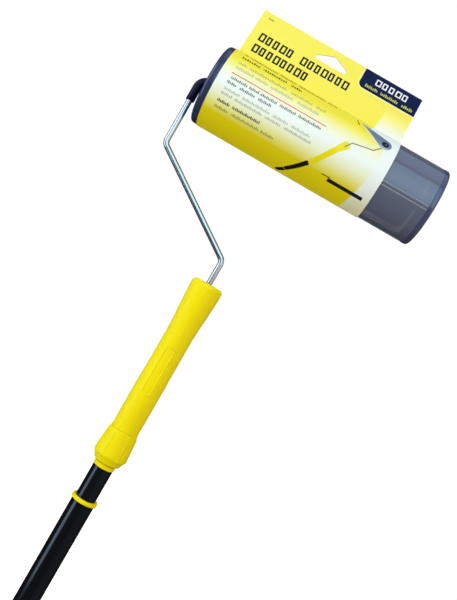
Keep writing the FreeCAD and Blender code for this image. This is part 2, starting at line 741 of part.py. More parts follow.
def make_card():
    """The card sleeve round the shield, with a doubled header that leans back and a hanging slot."""
    length = size.card_right_x - size.card_left_x
    wrap = new_body("card_wrap")
    ring = sketch_on(wrap, "XY_Plane", "RingSection")
    draw_circle(ring, card_od)
    draw_circle(ring, size.card_id)
    pad(wrap, ring, length, "Ring")
    lie_on_roller(wrap, size.card_left_x)

    header = new_body("card_header")
    outline = sketch_on(header, "XZ_Plane", "HeaderOutline")
    draw_outline(outline, [
        (size.card_left_x, 0), (size.card_right_x, 0), (size.card_right_x, size.header_length),
        (size.card_left_x, size.header_length)])
    low = size.header_length.value - size.slot_depth.value
    half = size.slot_width.value / 2
    middle = size.slot_x.value
    lobe = size.slot_lobe.value
    tip = size.slot_tip.value
    for edge in tangent_loop([
            (middle - half + lobe, low + lobe, lobe), (middle + half - lobe, low + lobe, lobe),
            (middle, low + size.slot_height.value - tip, tip)]):
        outline.addGeometry(edge, False)
    pad(header, outline, size.card_thick * 2, "Header")
    root = size.roller_z + size.card_id / 2 + size.slide_gap
    header.Placement = FreeCAD.Placement(
        Vector(0, 0, root.value), FreeCAD.Rotation(Vector(1, 0, 0), -size.header_lean.value))
    header.setExpression("Placement.Base.z", root.formula)

    card = doc.addObject("Part::MultiFuse", "card_sleeve")
    card.Label = "card_sleeve"
    card.Shapes = [wrap, header]
    keep(card)


# --- build, check and write -------------------------------------------------------------------

def make_everything():
    """Make every sub-part of the roller, from the pole's foot up."""
    make_outer_tube()
    make_mouth_ring()
    make_butt_cap()
    make_cam_ring()
    make_inner_tube()
    make_lock_core()
    make_core_fixings()
    make_tip_insert()
    make_lock_collar()
    make_grip()
    make_grip_core()
    make_rod_pin()
    make_rod()
    make_elbow_sleeve()
    make_rod_fittings()
    make_shield()
    make_cage()
    make_cover()
    make_card()


def check_objects():
    """Stop if any object failed to build or any node has no valid solid."""
    for item in doc.Objects:
        if "Invalid" in item.State or "Error" in item.State:
            raise RuntimeError("%s failed: %s" % (item.Label, item.State))
    for item in nodes:
        if item.Shape.isNull() or not item.Shape.isValid() or not item.Shape.Solids:
            raise RuntimeError("%s has no valid solid" % item.Label)


def write_nodes():
    """Write each node's solids to its own STEP file."""
    os.makedirs("parts", exist_ok=True)
    for item in nodes:
        item.Shape.exportStep("parts/%s.step" % item.Label)
        box = item.Shape.BoundBox
        print("%-20s %9.0f mm3  x %7.1f..%7.1f  y %6.1f..%6.1f  z %7.1f..%7.1f" % (
            item.Label, item.Shape.Volume, box.XMin, box.XMax, box.YMin, box.YMax,
            box.ZMin, box.ZMax))


make_everything()
doc.recompute()
check_objects()
write_nodes()
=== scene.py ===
"""The looks of the paint roller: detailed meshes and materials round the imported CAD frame.

Places are in metres, in the CAD's frame: the pole stands along Z, the roller lies along X above it,
and the shield's closed front faces -Y, towards the camera.  Outlines, and the constants that shape
them, are in millimetres.
"""
import math

import bmesh
import bpy
from mathutils import Matrix, Vector, noise


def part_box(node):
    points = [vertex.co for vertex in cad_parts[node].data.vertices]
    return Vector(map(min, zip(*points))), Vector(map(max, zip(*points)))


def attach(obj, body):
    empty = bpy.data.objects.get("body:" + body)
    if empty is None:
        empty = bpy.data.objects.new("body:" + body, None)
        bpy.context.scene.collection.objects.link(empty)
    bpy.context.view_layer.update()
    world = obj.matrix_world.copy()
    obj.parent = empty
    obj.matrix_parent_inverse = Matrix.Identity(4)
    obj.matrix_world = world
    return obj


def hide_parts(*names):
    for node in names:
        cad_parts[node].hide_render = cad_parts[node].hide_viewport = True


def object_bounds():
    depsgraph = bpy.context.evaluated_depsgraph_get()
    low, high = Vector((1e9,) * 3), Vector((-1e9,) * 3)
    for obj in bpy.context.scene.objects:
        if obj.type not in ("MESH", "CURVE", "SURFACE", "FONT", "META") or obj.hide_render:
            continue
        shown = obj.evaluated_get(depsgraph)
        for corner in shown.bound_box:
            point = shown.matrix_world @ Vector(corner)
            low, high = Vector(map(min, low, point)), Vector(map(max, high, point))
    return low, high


MM = 0.001
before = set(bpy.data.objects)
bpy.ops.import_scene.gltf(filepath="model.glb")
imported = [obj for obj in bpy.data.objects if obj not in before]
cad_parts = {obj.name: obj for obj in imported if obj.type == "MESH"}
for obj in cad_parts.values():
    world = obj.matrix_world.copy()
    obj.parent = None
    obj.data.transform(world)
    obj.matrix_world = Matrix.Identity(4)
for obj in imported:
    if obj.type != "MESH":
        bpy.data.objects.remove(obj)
cad_low, cad_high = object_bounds()


# --- places read from the frame ---------------------------------------------------------------

def span(node, axis):
    """The lowest and highest place of a CAD node along one axis (0, 1 or 2)."""
    low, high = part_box(node)
    return low[axis], high[axis]


def half_width(node, axis=0):
    """Half a CAD node's extent along an axis: the radius of a round piece."""
    low, high = span(node, axis)
    return (high - low) / 2


ROLLER_Z = sum(span("cover_nap", 2)) / 2
TUBE_LOW, TUBE_HIGH = span("outer_tube", 2)
INNER_LOW, INNER_HIGH = span("inner_tube", 2)
GRIP_LOW, GRIP_HIGH = span("grip", 2)
COLLAR_LOW, COLLAR_HIGH = span("lock_collar", 2)
TUBE_RADIUS = half_width("outer_tube")
INNER_RADIUS = half_width("inner_tube")
ROD_RADIUS = half_width("rod", 1)
ROD_LEFT = span("rod", 0)[0] + ROD_RADIUS
ROD_RIGHT = span("rod", 0)[1]
SHIELD_LEFT = span("shield_left_end", 0)[0]
SHIELD_RIGHT = span("shield_right_end", 0)[1]
SHELL_LEFT = span("shield_upper_shell", 0)[0]
SHELL_RADIUS = span("shield_upper_shell", 2)[1] - ROLLER_Z
RIM_RADIUS = half_width("shield_left_end", 2)
MOUTH_Y = span("shield_left_end", 1)[1]
COVER_LEFT, COVER_RIGHT = span("cover_nap", 0)
NAP_RADIUS = half_width("cover_nap", 2)
CARD_LEFT, CARD_RIGHT = span("card_sleeve", 0)
CARD_RADIUS = ROLLER_Z - span("card_sleeve", 2)[0]
CARD_TOP = span("card_sleeve", 2)[1]

# Sizes that the boxes of the CAD nodes don't give, in metres.
TUBE_WALL = 0.9 * MM
SHELL_WALL = 1.8 * MM
CARD_THICK = 0.45 * MM
HEADER_LEAN = math.radians(20)
LOW_BEND_Z = 912.2 * MM
HIGH_BEND_Z = 988.7 * MM
BEND_RADIUS = 9 * MM
ELBOW_RADIUS = 10 * MM


# --- mesh helpers -----------------------------------------------------------------------------

SHARP_ANGLE = 35
NO_RADIUS = 1e-7  # a ring under this radius is a single vertex


def shade(mesh, angle=SHARP_ANGLE):
    """Shade a mesh smooth, and sharp where its faces turn by more than an angle in degrees."""
    mesh.shade_smooth()
    mesh.set_sharp_from_angle(angle=math.radians(angle))


def finish_mesh(name, bm, angle=SHARP_ANGLE):
    """Turn a bmesh into an object, with its faces outward."""
    bmesh.ops.recalc_face_normals(bm, faces=bm.faces)
    mesh = bpy.data.meshes.new(name)
    bm.to_mesh(mesh)
    bm.free()
    shade(mesh, angle)
    piece = bpy.data.objects.new(name, mesh)
    bpy.context.scene.collection.objects.link(piece)
    return piece


def place(piece, body, slot, material, *replaced):
    """Give a piece its body, its material and the CAD nodes that it stands for; slot is not used."""
    piece.data.materials.append(material)
    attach(piece, body)
    if replaced:
        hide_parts(*replaced)


def soften(points, closed=True, steps=5):
    """Round the corners of an outline of (across, along, rounding) points, in millimetres."""
    flat = []
    count = len(points)
    for index, (x, y, rounding) in enumerate(points):
        corner = Vector((x, y))
        if rounding <= 0 or (not closed and index in (0, count - 1)):
            flat.append(corner)
            continue
        before = Vector(points[index - 1][:2]) - corner
        after = Vector(points[(index + 1) % count][:2]) - corner
        turn = math.pi - before.angle(after)
        if turn < 1e-3:
            flat.append(corner)
            continue
        reach = min(rounding * math.tan(turn / 2), before.length * 0.49, after.length * 0.49)
        start = corner + before.normalized() * reach
        end = corner + after.normalized() * reach
        for step in range(steps + 1):
            t = step / steps
            flat.append(start * (1 - t) ** 2 + corner * 2 * t * (1 - t) + end * t ** 2)
    return flat


def on_pole(radius, along, turn):
    """A point round the pole's axis."""
    return Vector((radius * math.cos(turn), radius * math.sin(turn), along))


def on_roller(radius, along, turn):
    """A point round the roller's axis; turn 0 faces the front, and up is positive."""
    return Vector((along, -radius * math.cos(turn), ROLLER_Z + radius * math.sin(turn)))


def new_ring(bm, count, point_at):
    """A ring of vertices at even turns; point_at gives the place at a turn."""
    return [bm.verts.new(point_at(math.tau * k / count)) for k in range(count)]


def join_rings(bm, one, two):
    """Faces between two rings; a ring of one vertex is a pole."""
    if len(one) == 1 and len(two) == 1:
        return
    count = max(len(one), len(two))
    for k in range(count):
        follow = (k + 1) % count
        if len(one) == 1:
            bm.faces.new((one[0], two[k], two[follow]))
        elif len(two) == 1:
            bm.faces.new((one[k], one[follow], two[0]))
        else:
            bm.faces.new((one[k], one[follow], two[follow], two[k]))


def skin(bm, rings, closed=False):
    """Faces from each ring to the next, and from the last to the first if closed."""
    following = rings[1:] + rings[:1] if closed else rings[1:]
    for one, two in zip(rings, following):
        join_rings(bm, one, two)


def lathe(name, profile, base, where=on_pole, segments=128, flip=1, closed=True):
    """Turn a softened outline of millimetres about an axis; a point at radius 0 closes the end."""
    bm = bmesh.new()
    rings = []
    for point in soften(profile, closed):
        radius, along = point.x * MM, base + flip * point.y * MM
        if radius < NO_RADIUS:
            rings.append([bm.verts.new(where(0, along, 0))])
        else:
            rings.append(new_ring(bm, segments, lambda turn: where(radius, along, turn)))
    skin(bm, rings, closed)
    return finish_mesh(name, bm)


def rounded_path(corners, radii, steps=14):
    """Points along straight runs joined by tangent arcs, in the XZ plane."""
    points = [corners[0]]
    for index, radius in enumerate(radii, start=1):
        corner = corners[index]
        before = (corners[index - 1] - corner).normalized()
        after = (corners[index + 1] - corner).normalized()
        half = before.angle(after) / 2
        centre = corner + (before + after).normalized() * (radius / math.sin(half))
        start = corner + before * (radius / math.tan(half)) - centre
        end = corner + after * (radius / math.tan(half)) - centre
        sweep_angle = math.pi - 2 * half
        for step in range(steps + 1):
            t = step / steps
            mixed = (start * math.sin((1 - t) * sweep_angle) + end * math.sin(t * sweep_angle))
            points.append(centre + mixed / math.sin(sweep_angle))
    points.append(corners[-1])
    return points


def tangents(points):
    """The direction of a path at each of its points."""
    found = []
    for index in range(len(points)):
        ahead = points[min(index + 1, len(points) - 1)]
        behind = points[max(index - 1, 0)]
        found.append((ahead - behind).normalized())
    return found


def sweep(name, stations, segments=48):
    """A skin through rings of (centre, direction, radius) in the XZ plane.

    A radius of 0 closes an end to a point; a hollow bar has none, and its last ring joins its first.
    """
    bm = bmesh.new()
    side = Vector((0, 1, 0))
    rings = []
    for centre, direction, radius in stations:
        if radius < NO_RADIUS:
            rings.append([bm.verts.new(centre)])
            continue
        across = side.cross(direction).normalized()
        rings.append(new_ring(bm, segments, lambda turn: centre + radius * (
            across * math.cos(turn) + side * math.sin(turn))))
    skin(bm, rings, closed=len(rings[0]) > 1)
    return finish_mesh(name, bm)


# --- material helpers -------------------------------------------------------------------------

def srgb(red, green, blue, alpha=1.0):
    """A colour as it looks on screen, 0 to 255, turned into the shader's linear values."""
    def linear(value):
        value /= 255
        return value / 12.92 if value <= 0.04045 else ((value + 0.055) / 1.055) ** 2.4
    return (linear(red), linear(green), linear(blue), alpha)


class Shader:
    """A Principled material and short calls for the nodes that feed it."""

    def __init__(self, name, **settings):
        self.material = bpy.data.materials.new(name)
        self.material.use_nodes = True
        self.tree = self.material.node_tree
        self.shell = self.tree.nodes["Principled BSDF"]
        for label, value in settings.items():
            self.shell.inputs[label.replace("_", " ")].default_value = value
        self.place_coords = self.node("ShaderNodeTexCoord").outputs["Object"]

    def node(self, kind, **properties):
        """A new node with some of its properties set."""
        made = self.tree.nodes.new(kind)
        for label, value in properties.items():
            setattr(made, label, value)
        return made

    def feed(self, socket, value):
        """Link an output to a socket, or set the socket's own value."""
        if isinstance(value, bpy.types.NodeSocket):
            self.tree.links.new(value, socket)
        else:
            socket.default_value = value

    def math(self, operation, first, second=0.0, third=0.0):
        """A Math node's result."""
        made = self.node("ShaderNodeMath", operation=operation)
        for socket, value in zip(made.inputs, (first, second, third)):
            self.feed(socket, value)
        return made.outputs[0]

    def mix(self, amount, first, second):
        """A blend of two colours."""
        made = self.node("ShaderNodeMix", data_type="RGBA")
        self.feed(made.inputs["Factor"], amount)
        self.feed(made.inputs[6], first)
        self.feed(made.inputs[7], second)
        return made.outputs[2]

    def stretch(self, scale):
        """Object coordinates scaled by a factor on each axis."""
        made = self.node("ShaderNodeMapping")
        self.feed(made.inputs["Vector"], self.place_coords)
        made.inputs["Scale"].default_value = scale
        return made.outputs["Vector"]

    def noise(self, scale, detail=3.0, roughness=0.5, coords=None):
        """Cloudy noise, from 0 to 1."""
        made = self.node("ShaderNodeTexNoise")
        self.feed(made.inputs["Vector"], coords or self.place_coords)
        made.inputs["Scale"].default_value = scale
        made.inputs["Detail"].default_value = detail
        made.inputs["Roughness"].default_value = roughness
        return made.outputs["Fac"]

    def cells(self, scale):
        """The distance from the middle of round cells."""
        made = self.node("ShaderNodeTexVoronoi")
        self.feed(made.inputs["Vector"], self.place_coords)
        made.inputs["Scale"].default_value = scale
        return made.outputs["Distance"]

    def span(self, value, low, high, new_low=0.0, new_high=1.0):
        """Map one range to another, held at its ends."""
        made = self.node("ShaderNodeMapRange")
        for socket, number in zip(made.inputs, (value, low, high, new_low, new_high)):
            self.feed(socket, number)
        return made.outputs[0]

    def ramp(self, value, stops):
        """A colour ramp from (place, colour) stops, in rising order."""
        made = self.node("ShaderNodeValToRGB")
        self.feed(made.inputs["Fac"], value)
        elements = made.color_ramp.elements
        for element, (spot, colour) in ((elements[0], stops[0]), (elements[-1], stops[-1])):
            element.position = spot
            element.color = colour
        for spot, colour in stops[1:-1]:
            elements.new(spot).color = colour
        return made.outputs["Color"]

    def bump(self, height, strength, distance, after=None, last=True):
        """Relief from a height, over another relief if one is given; the last one shapes the surface."""
        made = self.node("ShaderNodeBump")
        self.feed(made.inputs["Height"], height)
        made.inputs["Strength"].default_value = strength
        made.inputs["Distance"].default_value = distance
        if after is not None:
            self.feed(made.inputs["Normal"], after)
        if last:
            self.feed(self.shell.inputs["Normal"], made.outputs["Normal"])
        return made.outputs["Normal"]

    def paint(self, colour, roughness=None):
        """Feed the base colour, and the roughness if it varies."""
        self.feed(self.shell.inputs["Base Color"], colour)
        if roughness is not None:
            self.feed(self.shell.inputs["Roughness"], roughness)


# --- materials --------------------------------------------------------------------------------

def moulded_yellow():
    """Satin yellow plastic with a fine mould texture and faint flow marks."""
    shader = Shader("yellow_plastic", IOR=1.46, Specular_IOR_Level=0.12)
    cloud = shader.noise(22, 4)
    grain = shader.noise(700, 2)
    streak = shader.noise(160, 3, coords=shader.stretch((1, 1, 0.12)))
    tone = shader.mix(cloud, srgb(253, 236, 6), srgb(248, 226, 3))
    tone = shader.mix(shader.span(streak, 0.5, 0.9, 0.0, 0.35), tone, srgb(254, 238, 10))
    shader.paint(tone, shader.span(grain, 0.2, 0.8, 0.32, 0.42))
    shader.bump(grain, 0.03, 0.0001)
    return shader.material


def pole_paint():
    """Gloss black enamel with a faint orange peel and a few rubbed marks."""
    shader = Shader("pole_paint", IOR=1.5, Specular_Tint=(0.70, 0.85, 1.0, 1.0))
    peel = shader.noise(420, 2)
    scuffs = shader.noise(60, 6, 0.7, coords=shader.stretch((6, 6, 0.5)))
    marks = shader.span(scuffs, 0.66, 0.78, 0.0, 1.0)
    shader.paint(shader.mix(marks, srgb(4, 4, 5), srgb(20, 20, 19)),
                 shader.span(scuffs, 0.3, 0.8, 0.10, 0.22))
    shader.bump(peel, 0.035, 0.0003)
    return shader.material


def zinc_wire():
    """Bright zinc plate, drawn along its length, with a slight mottle."""
    shader = Shader("zinc_wire", Metallic=1.0)
    mottle = shader.noise(90, 5, 0.6)
    drawn = shader.noise(500, 3, coords=shader.stretch((0.3, 1, 0.3)))
    shader.paint(shader.mix(mottle, srgb(196, 198, 196), srgb(176, 180, 182)),
                 shader.span(drawn, 0.2, 0.8, 0.16, 0.26))
    shader.bump(drawn, 0.02, 0.00005)
    return shader.material


def navy_vinyl():
    """Gloss navy sleeve, slightly uneven."""
    shader = Shader("navy_vinyl", IOR=1.45, Specular_IOR_Level=0.2)
    cloud = shader.noise(120, 3)
    shader.paint(shader.mix(cloud, srgb(4, 8, 54), srgb(2, 5, 36)),
                 shader.span(cloud, 0.3, 0.7, 0.22, 0.36))
    shader.bump(cloud, 0.08, 0.0004)
    return shader.material


def smoky_plastic(name, light, dark, alpha, coat=0.5):
    """See-through smoky blue moulding with drawn scratches and a soft haze."""
    shader = Shader(name, IOR=1.49, Coat_Weight=coat, Coat_Roughness=0.08)
    haze = shader.noise(26, 4)
    rubs = shader.noise(700, 2, coords=shader.stretch((0.05, 1, 1)))
    shader.paint(shader.mix(haze, srgb(*light), srgb(*dark)),
                 shader.span(rubs, 0.3, 0.75, 0.12, 0.26))
    shader.feed(shader.shell.inputs["Alpha"],
                shader.span(haze, 0.2, 0.8, alpha - 0.04, alpha + 0.04))
    shader.bump(rubs, 0.03, 0.0002)
    return shader.material


def plain_plastic(name, colour):
    """An ordinary moulded plastic with a fine grain."""
    shader = Shader(name)
    grain = shader.noise(900, 3)
    cloud = shader.noise(40, 3)
    darker = tuple(channel * 0.8 for channel in colour)
    shader.paint(shader.mix(cloud, srgb(*colour), srgb(*darker)),
                 shader.span(grain, 0.2, 0.8, 0.38, 0.55))
    shader.bump(grain, 0.12, 0.0002)
    return shader.material


def knitted_pile():
    """White knitted pile: soft fibres over a diagonal knit, a little matted."""
    shader = Shader("knitted_pile", Roughness=0.95, Sheen_Weight=0.6, Sheen_Roughness=0.5)
    fibres = shader.noise(1500, 4, 0.7)
    tufts = shader.cells(420)
    matting = shader.noise(45, 4)
    tone = shader.mix(tufts, srgb(246, 245, 240), srgb(214, 211, 202))
    tone = shader.mix(shader.span(matting, 0.4, 0.7, 0.0, 0.3), tone, srgb(226, 222, 210))
    shader.paint(tone)
    first = shader.bump(tufts, 0.5, 0.0008, last=False)
    shader.bump(fibres, 0.6, 0.0006, after=first)
    return shader.material


def raw_board(name, light, dark):
    """Unprinted board with paper fibres: the card's inside and the cover's core."""
    shader = Shader(name, Roughness=0.85)
    fibre = shader.noise(700, 5, 0.65, coords=shader.stretch((1, 0.35, 1)))
    fleck = shader.noise(160, 4)
    tone = shader.mix(fibre, srgb(*light), srgb(*dark))
    shader.paint(shader.mix(shader.span(fleck, 0.62, 0.75, 0, 0.4), tone, srgb(170, 160, 140)))
    shader.bump(fibre, 0.15, 0.0002)
    return shader.material


# --- the printed card's artwork ---------------------------------------------------------------

# Places on the card are in millimetres: across, from the pole's axis along the roller, and up,
# from the crease at the header's foot; the wrapped part is below the crease, so negative.  The
# layout, a square that the UV map covers, has room round the card.
LAYOUT_SIZE, LAYOUT_LEFT, LAYOUT_LOW = 400.0, -200.0, -300.0


class Artwork(Shader):
    """The card's printed face, laid out on a UV map that holds (across, up)."""

    def __init__(self, name):
        super().__init__(name, Roughness=0.55, IOR=1.45, Specular_IOR_Level=0.05)
        uv = self.node("ShaderNodeUVMap", uv_map="layout").outputs["UV"]
        parts = self.node("ShaderNodeSeparateXYZ")
        self.feed(parts.inputs[0], uv)
        self.across = self.math("MULTIPLY_ADD", parts.outputs[0], LAYOUT_SIZE, LAYOUT_LEFT)
        self.up = self.math("MULTIPLY_ADD", parts.outputs[1], LAYOUT_SIZE, LAYOUT_LOW)

    def both(self, *masks):
        """Where all the masks are 1."""
        result = masks[0]
        for mask in masks[1:]:
            result = self.math("MULTIPLY", result, mask)
        return result

    def between(self, value, low, high):
        """Where a value lies between two others."""
        return self.both(self.math("GREATER_THAN", value, low), self.math("LESS_THAN", value, high))

    def block(self, left, right, low, high):
        """A rectangle."""
        return self.both(self.between(self.across, left, right), self.between(self.up, low, high))

    def words(self, left, right, low, high, seed, letter, word):
        """A row of small type reduced to blocks of two heights, in words of uneven length."""
        first = self.math("SINE", self.math("MULTIPLY_ADD", self.across, 6.28 / word, float(seed)))
        second = self.math("SINE", self.math("MULTIPLY_ADD", self.across, 3.7 / word, seed * 1.7))
        inside_word = self.math("GREATER_THAN", self.math("ADD", first, second), -1.3)
        phase = self.math("FRACT", self.math("DIVIDE", self.across, letter))
        inside_letter = self.math("LESS_THAN", phase, 0.7)
        rise = self.math("SINE", self.math("MULTIPLY", self.across, 2.3 / letter))
        tall = self.math("GREATER_THAN", rise, 0.25)
        top = self.math("MULTIPLY_ADD", tall, (high - low) * 0.3, low + (high - low) * 0.7)
        return self.both(self.between(self.across, left, right),
                         self.math("GREATER_THAN", self.up, low),
                         self.math("LESS_THAN", self.up, top), inside_word, inside_letter)

    def frames(self, left, count, pitch, low, high, stroke, skip=()):
        """A row of hollow boxes in place of large type."""
        masks = None
        for index in range(count):
            if index in skip:
                continue
            start = left + index * pitch
            width = pitch * (0.7 if index % 3 else 0.82)
            outer = self.block(start, start + width, low, high)
            inner = self.block(start + stroke, start + width - stroke, low + stroke, high - stroke)
            box = self.math("SUBTRACT", outer, inner)
            masks = box if masks is None else self.math("MAXIMUM", masks, box)
        return masks

    def capsule(self, start, end, first, last):
        """A straight bar with round ends, whose half width goes from first to last."""
        run = (end[0] - start[0], end[1] - start[1])
        length_squared = run[0] ** 2 + run[1] ** 2
        dx = self.math("SUBTRACT", self.across, start[0])
        dy = self.math("SUBTRACT", self.up, start[1])
        dot = self.math("ADD", self.math("MULTIPLY", dx, run[0]), self.math("MULTIPLY", dy, run[1]))
        part = self.span(dot, 0.0, length_squared)
        ex = self.math("SUBTRACT", dx, self.math("MULTIPLY", part, run[0]))
        ey = self.math("SUBTRACT", dy, self.math("MULTIPLY", part, run[1]))
        away = self.math("SQRT", self.math(
            "ADD", self.math("MULTIPLY", ex, ex), self.math("MULTIPLY", ey, ey)))
        return self.math("LESS_THAN", away, self.math("MULTIPLY_ADD", part, last - first, first))


RAMP_LOW, RAMP_HIGH = -140.0, 64.0


def ramp_stops(stops):
    """Colour stops given by their place up the card, as fractions of the ramp."""
    return [((up - RAMP_LOW) / (RAMP_HIGH - RAMP_LOW), srgb(*colour)) for up, colour in stops]


YELLOW = (247, 238, 92)
DEEP_YELLOW = (250, 228, 4)
PALE_YELLOW = (243, 242, 120)
BLUISH_WHITE = (241, 252, 250)
PAINTED = [
    (-135, (255, 240, 8)), (-118, DEEP_YELLOW), (-101, (236, 216, 14)), (-92, (238, 234, 130)),
    (-82, (240, 246, 208)), (-68, BLUISH_WHITE), (-58, (242, 250, 224)), (-45, PALE_YELLOW),
    (-36, (242, 233, 60)), (-12, (246, 238, 78)), (4, YELLOW), (60, (247, 239, 100))]
BARE_WALL = [
    (-135, (250, 250, 190)), (-112, (245, 245, 204)), (-96, (240, 246, 236)),
    (-70, BLUISH_WHITE), (-30, (234, 245, 248)), (4, (242, 250, 244)), (20, (250, 247, 150)),
    (30, (247, 239, 102))]
INK = (22, 30, 46)


WHITE_INK = (236, 240, 246)
NAVY = (12, 26, 70)
PANEL_LEFT, PANEL_FOOT, PANEL_CORNER, PANEL_RIM = 30.0, 38.0, 6.5, 0.8

# rows of small type: left, right, foot, top, seed, width of a letter and of a word, ink
SMALL_TYPE = [
    (-86, -77, 54, 56.4, 3, 1.6, 9, (120, 120, 60)),
    (-83, 24, -23.5, -19.0, 11, 1.9, 11.0, (178, 92, 30)),
    (-83, -15, -33.2, -29.0, 29, 2.6, 16, (92, 92, 30)),
    (-83, 16, -43.8, -40.2, 47, 2.4, 15, (190, 190, 112)),
    (-83, 14, -51.0, -47.2, 5, 2.4, 15, (196, 202, 160)),
    (-83, 20.5, -63.4, -60.4, 71, 1.9, 11.0, (112, 122, 124)),
    (-83, -33, -68.8, -65.8, 83, 1.9, 11.0, (112, 122, 124)),
    (-83, 15, -75.6, -72.8, 97, 1.9, 11.0, (186, 198, 194)),
    (-83, 21, -80.6, -77.8, 113, 1.9, 11.0, (180, 190, 174)),
    (-83, -34.5, -88.6, -85.6, 131, 1.9, 11.0, (60, 64, 52)),
    (-83, -16, -95.4, -92.4, 149, 1.9, 11.0, (156, 154, 92)),
    (43, 88, 32.6, 34.6, 17, 1.7, 10, (236, 228, 130))]

# the picture's bars: start, end, half width at each, ink
POLE_AND_WIRE = [
    ((1.5, -129), (8.2, -120.2), 2.7, 2.4, (18, 20, 34)),
    ((8.4, -119.4), (8.9, -118.8), 2.3, 2.3, (150, 140, 80)),
    ((9.4, -118.0), (25, -98.5), 2.5, 2.6, (18, 20, 34)),
    ((28.5, -95.5), (44.0, -71.5), 2.9, 3.1, (238, 222, 14)),
    ((44.0, -71.5), (50.0, -64.2), 3.1, 4.4, (240, 230, 50)),
    ((49.5, -65.5), (54.4, -58.4), 0.55, 0.55, (110, 128, 140)),
    ((54.4, -58.4), (76.0, -53.8), 0.6, 0.6, (118, 136, 150)),
    ((76.0, -53.8), (82.5, -46.0), 0.6, 0.6, (110, 126, 140)),
    ((48.2, -24.0), (51.4, -31.0), 0.7, 0.9, (206, 96, 40))]
HOOD = ((54.5, -25.0), (83.2, -39.2), 1.0, 7.6)
HOOD_SHADES = [(0.0, (196, 208, 214)), (0.22, (120, 138, 162)), (0.55, (100, 122, 152)),
               (1.0, (170, 192, 206))]
HOOD_EDGE_AND_HUB = [
    ((57.0, -29.5), (79.0, -46.2), 0.5, 0.6, (222, 232, 236)),
    ((84.0, -39.4), (84.1, -39.4), 3.9, 3.9, (20, 26, 44)),
    ((84.6, -39.0), (84.7, -39.0), 1.4, 1.4, (70, 82, 110))]


def card_artwork():
    """Gradients, rules, greeked type, the navy panel and the small picture of a roller."""
    art = Artwork("printed_card")
    up = art.up
    height = art.span(up, RAMP_LOW, RAMP_HIGH)
    painted = art.ramp(height, ramp_stops(PAINTED))
    bare = art.ramp(height, ramp_stops(BARE_WALL))
    upper_edge = art.span(up, -26, 22, 64.5, 69.5)
    lower_edge = art.span(up, -131, -80, 75.5, 84.5)
    is_upper = art.math("GREATER_THAN", up, -34.0)
    edge = art.math("ADD", art.math("MULTIPLY", is_upper, upper_edge),
                    art.math("MULTIPLY", art.math("SUBTRACT", 1.0, is_upper), lower_edge))
    soft = art.span(art.math("SUBTRACT", art.across, edge), -0.6, 0.6)
    colour = art.mix(soft, painted, bare)

    def ink(mask, shade):
        nonlocal colour
        if not isinstance(shade, bpy.types.NodeSocket):
            shade = srgb(*shade)
        colour = art.mix(mask, colour, shade)

    ink(art.frames(-84, 13, 8.35, 24.4, 35.2, 2.0, skip=(5,)), INK)
    ink(art.frames(-84, 8, 8.35, 8.8, 19.5, 2.0), INK)
    for *row, shade in SMALL_TYPE:
        ink(art.words(*row), shade)
    ink(art.block(-83.5, 24, -57.6, -56.6), (222, 78, 64))
    ink(art.block(51, 91, -105.6, -101.2), INK)
    ink(art.block(43, 53, -100.9, -99.8), INK)

    # the navy panel and its pale rim, square but for the rounded lower corner inside the card
    middle = PANEL_FOOT + PANEL_CORNER
    above = art.math("GREATER_THAN", up, middle)
    for grown, shade in ((PANEL_RIM, (255, 246, 190)), (0.0, NAVY)):
        corner = art.capsule((PANEL_LEFT + PANEL_CORNER, middle), (120, middle),
                             PANEL_CORNER + grown, PANEL_CORNER + grown)
        ink(art.both(art.math("GREATER_THAN", art.across, PANEL_LEFT - grown),
                     art.math("GREATER_THAN", up, PANEL_FOOT - grown),
                     art.math("MAXIMUM", above, corner)), shade)
    ink(art.frames(46, 5, 8.0, 49.2, 57.2, 1.5), WHITE_INK)
    ink(art.words(37, 94, 41.6, 45.4, 23, 2.2, 13), (190, 196, 92))

    for *bar, shade in POLE_AND_WIRE:
        ink(art.capsule(*bar), shade)
    ink(art.capsule(*HOOD), art.ramp(art.span(up, -47, -20), [
        (spot, srgb(*shade)) for spot, shade in HOOD_SHADES]))
    for *bar, shade in HOOD_EDGE_AND_HUB:
        ink(art.capsule(*bar), shade)

    fibre = art.noise(900, 3)
    blotch = art.noise(30, 4)
    art.paint(art.mix(art.span(blotch, 0.3, 0.8, 0.0, 0.015), colour, srgb(200, 196, 150)),
              art.span(fibre, 0.2, 0.8, 0.46, 0.6))
    art.bump(fibre, 0.05, 0.0001)
    return art.material


# --- pieces: the pole -------------------------------------------------------------------------

RING_SHARE = 0.75  # how much of the CAD ring's height shows above the tube
CAP_RADIUS, CAP_HALF_THICK, CAP_SHOULDER, CAP_TOP = 12.5, 8.0, 6.5, 15.0
CAP_SPREAD = 1.6  # how fast the cap's flats run out above its shoulder
HOLE_RADIUS = 4.0


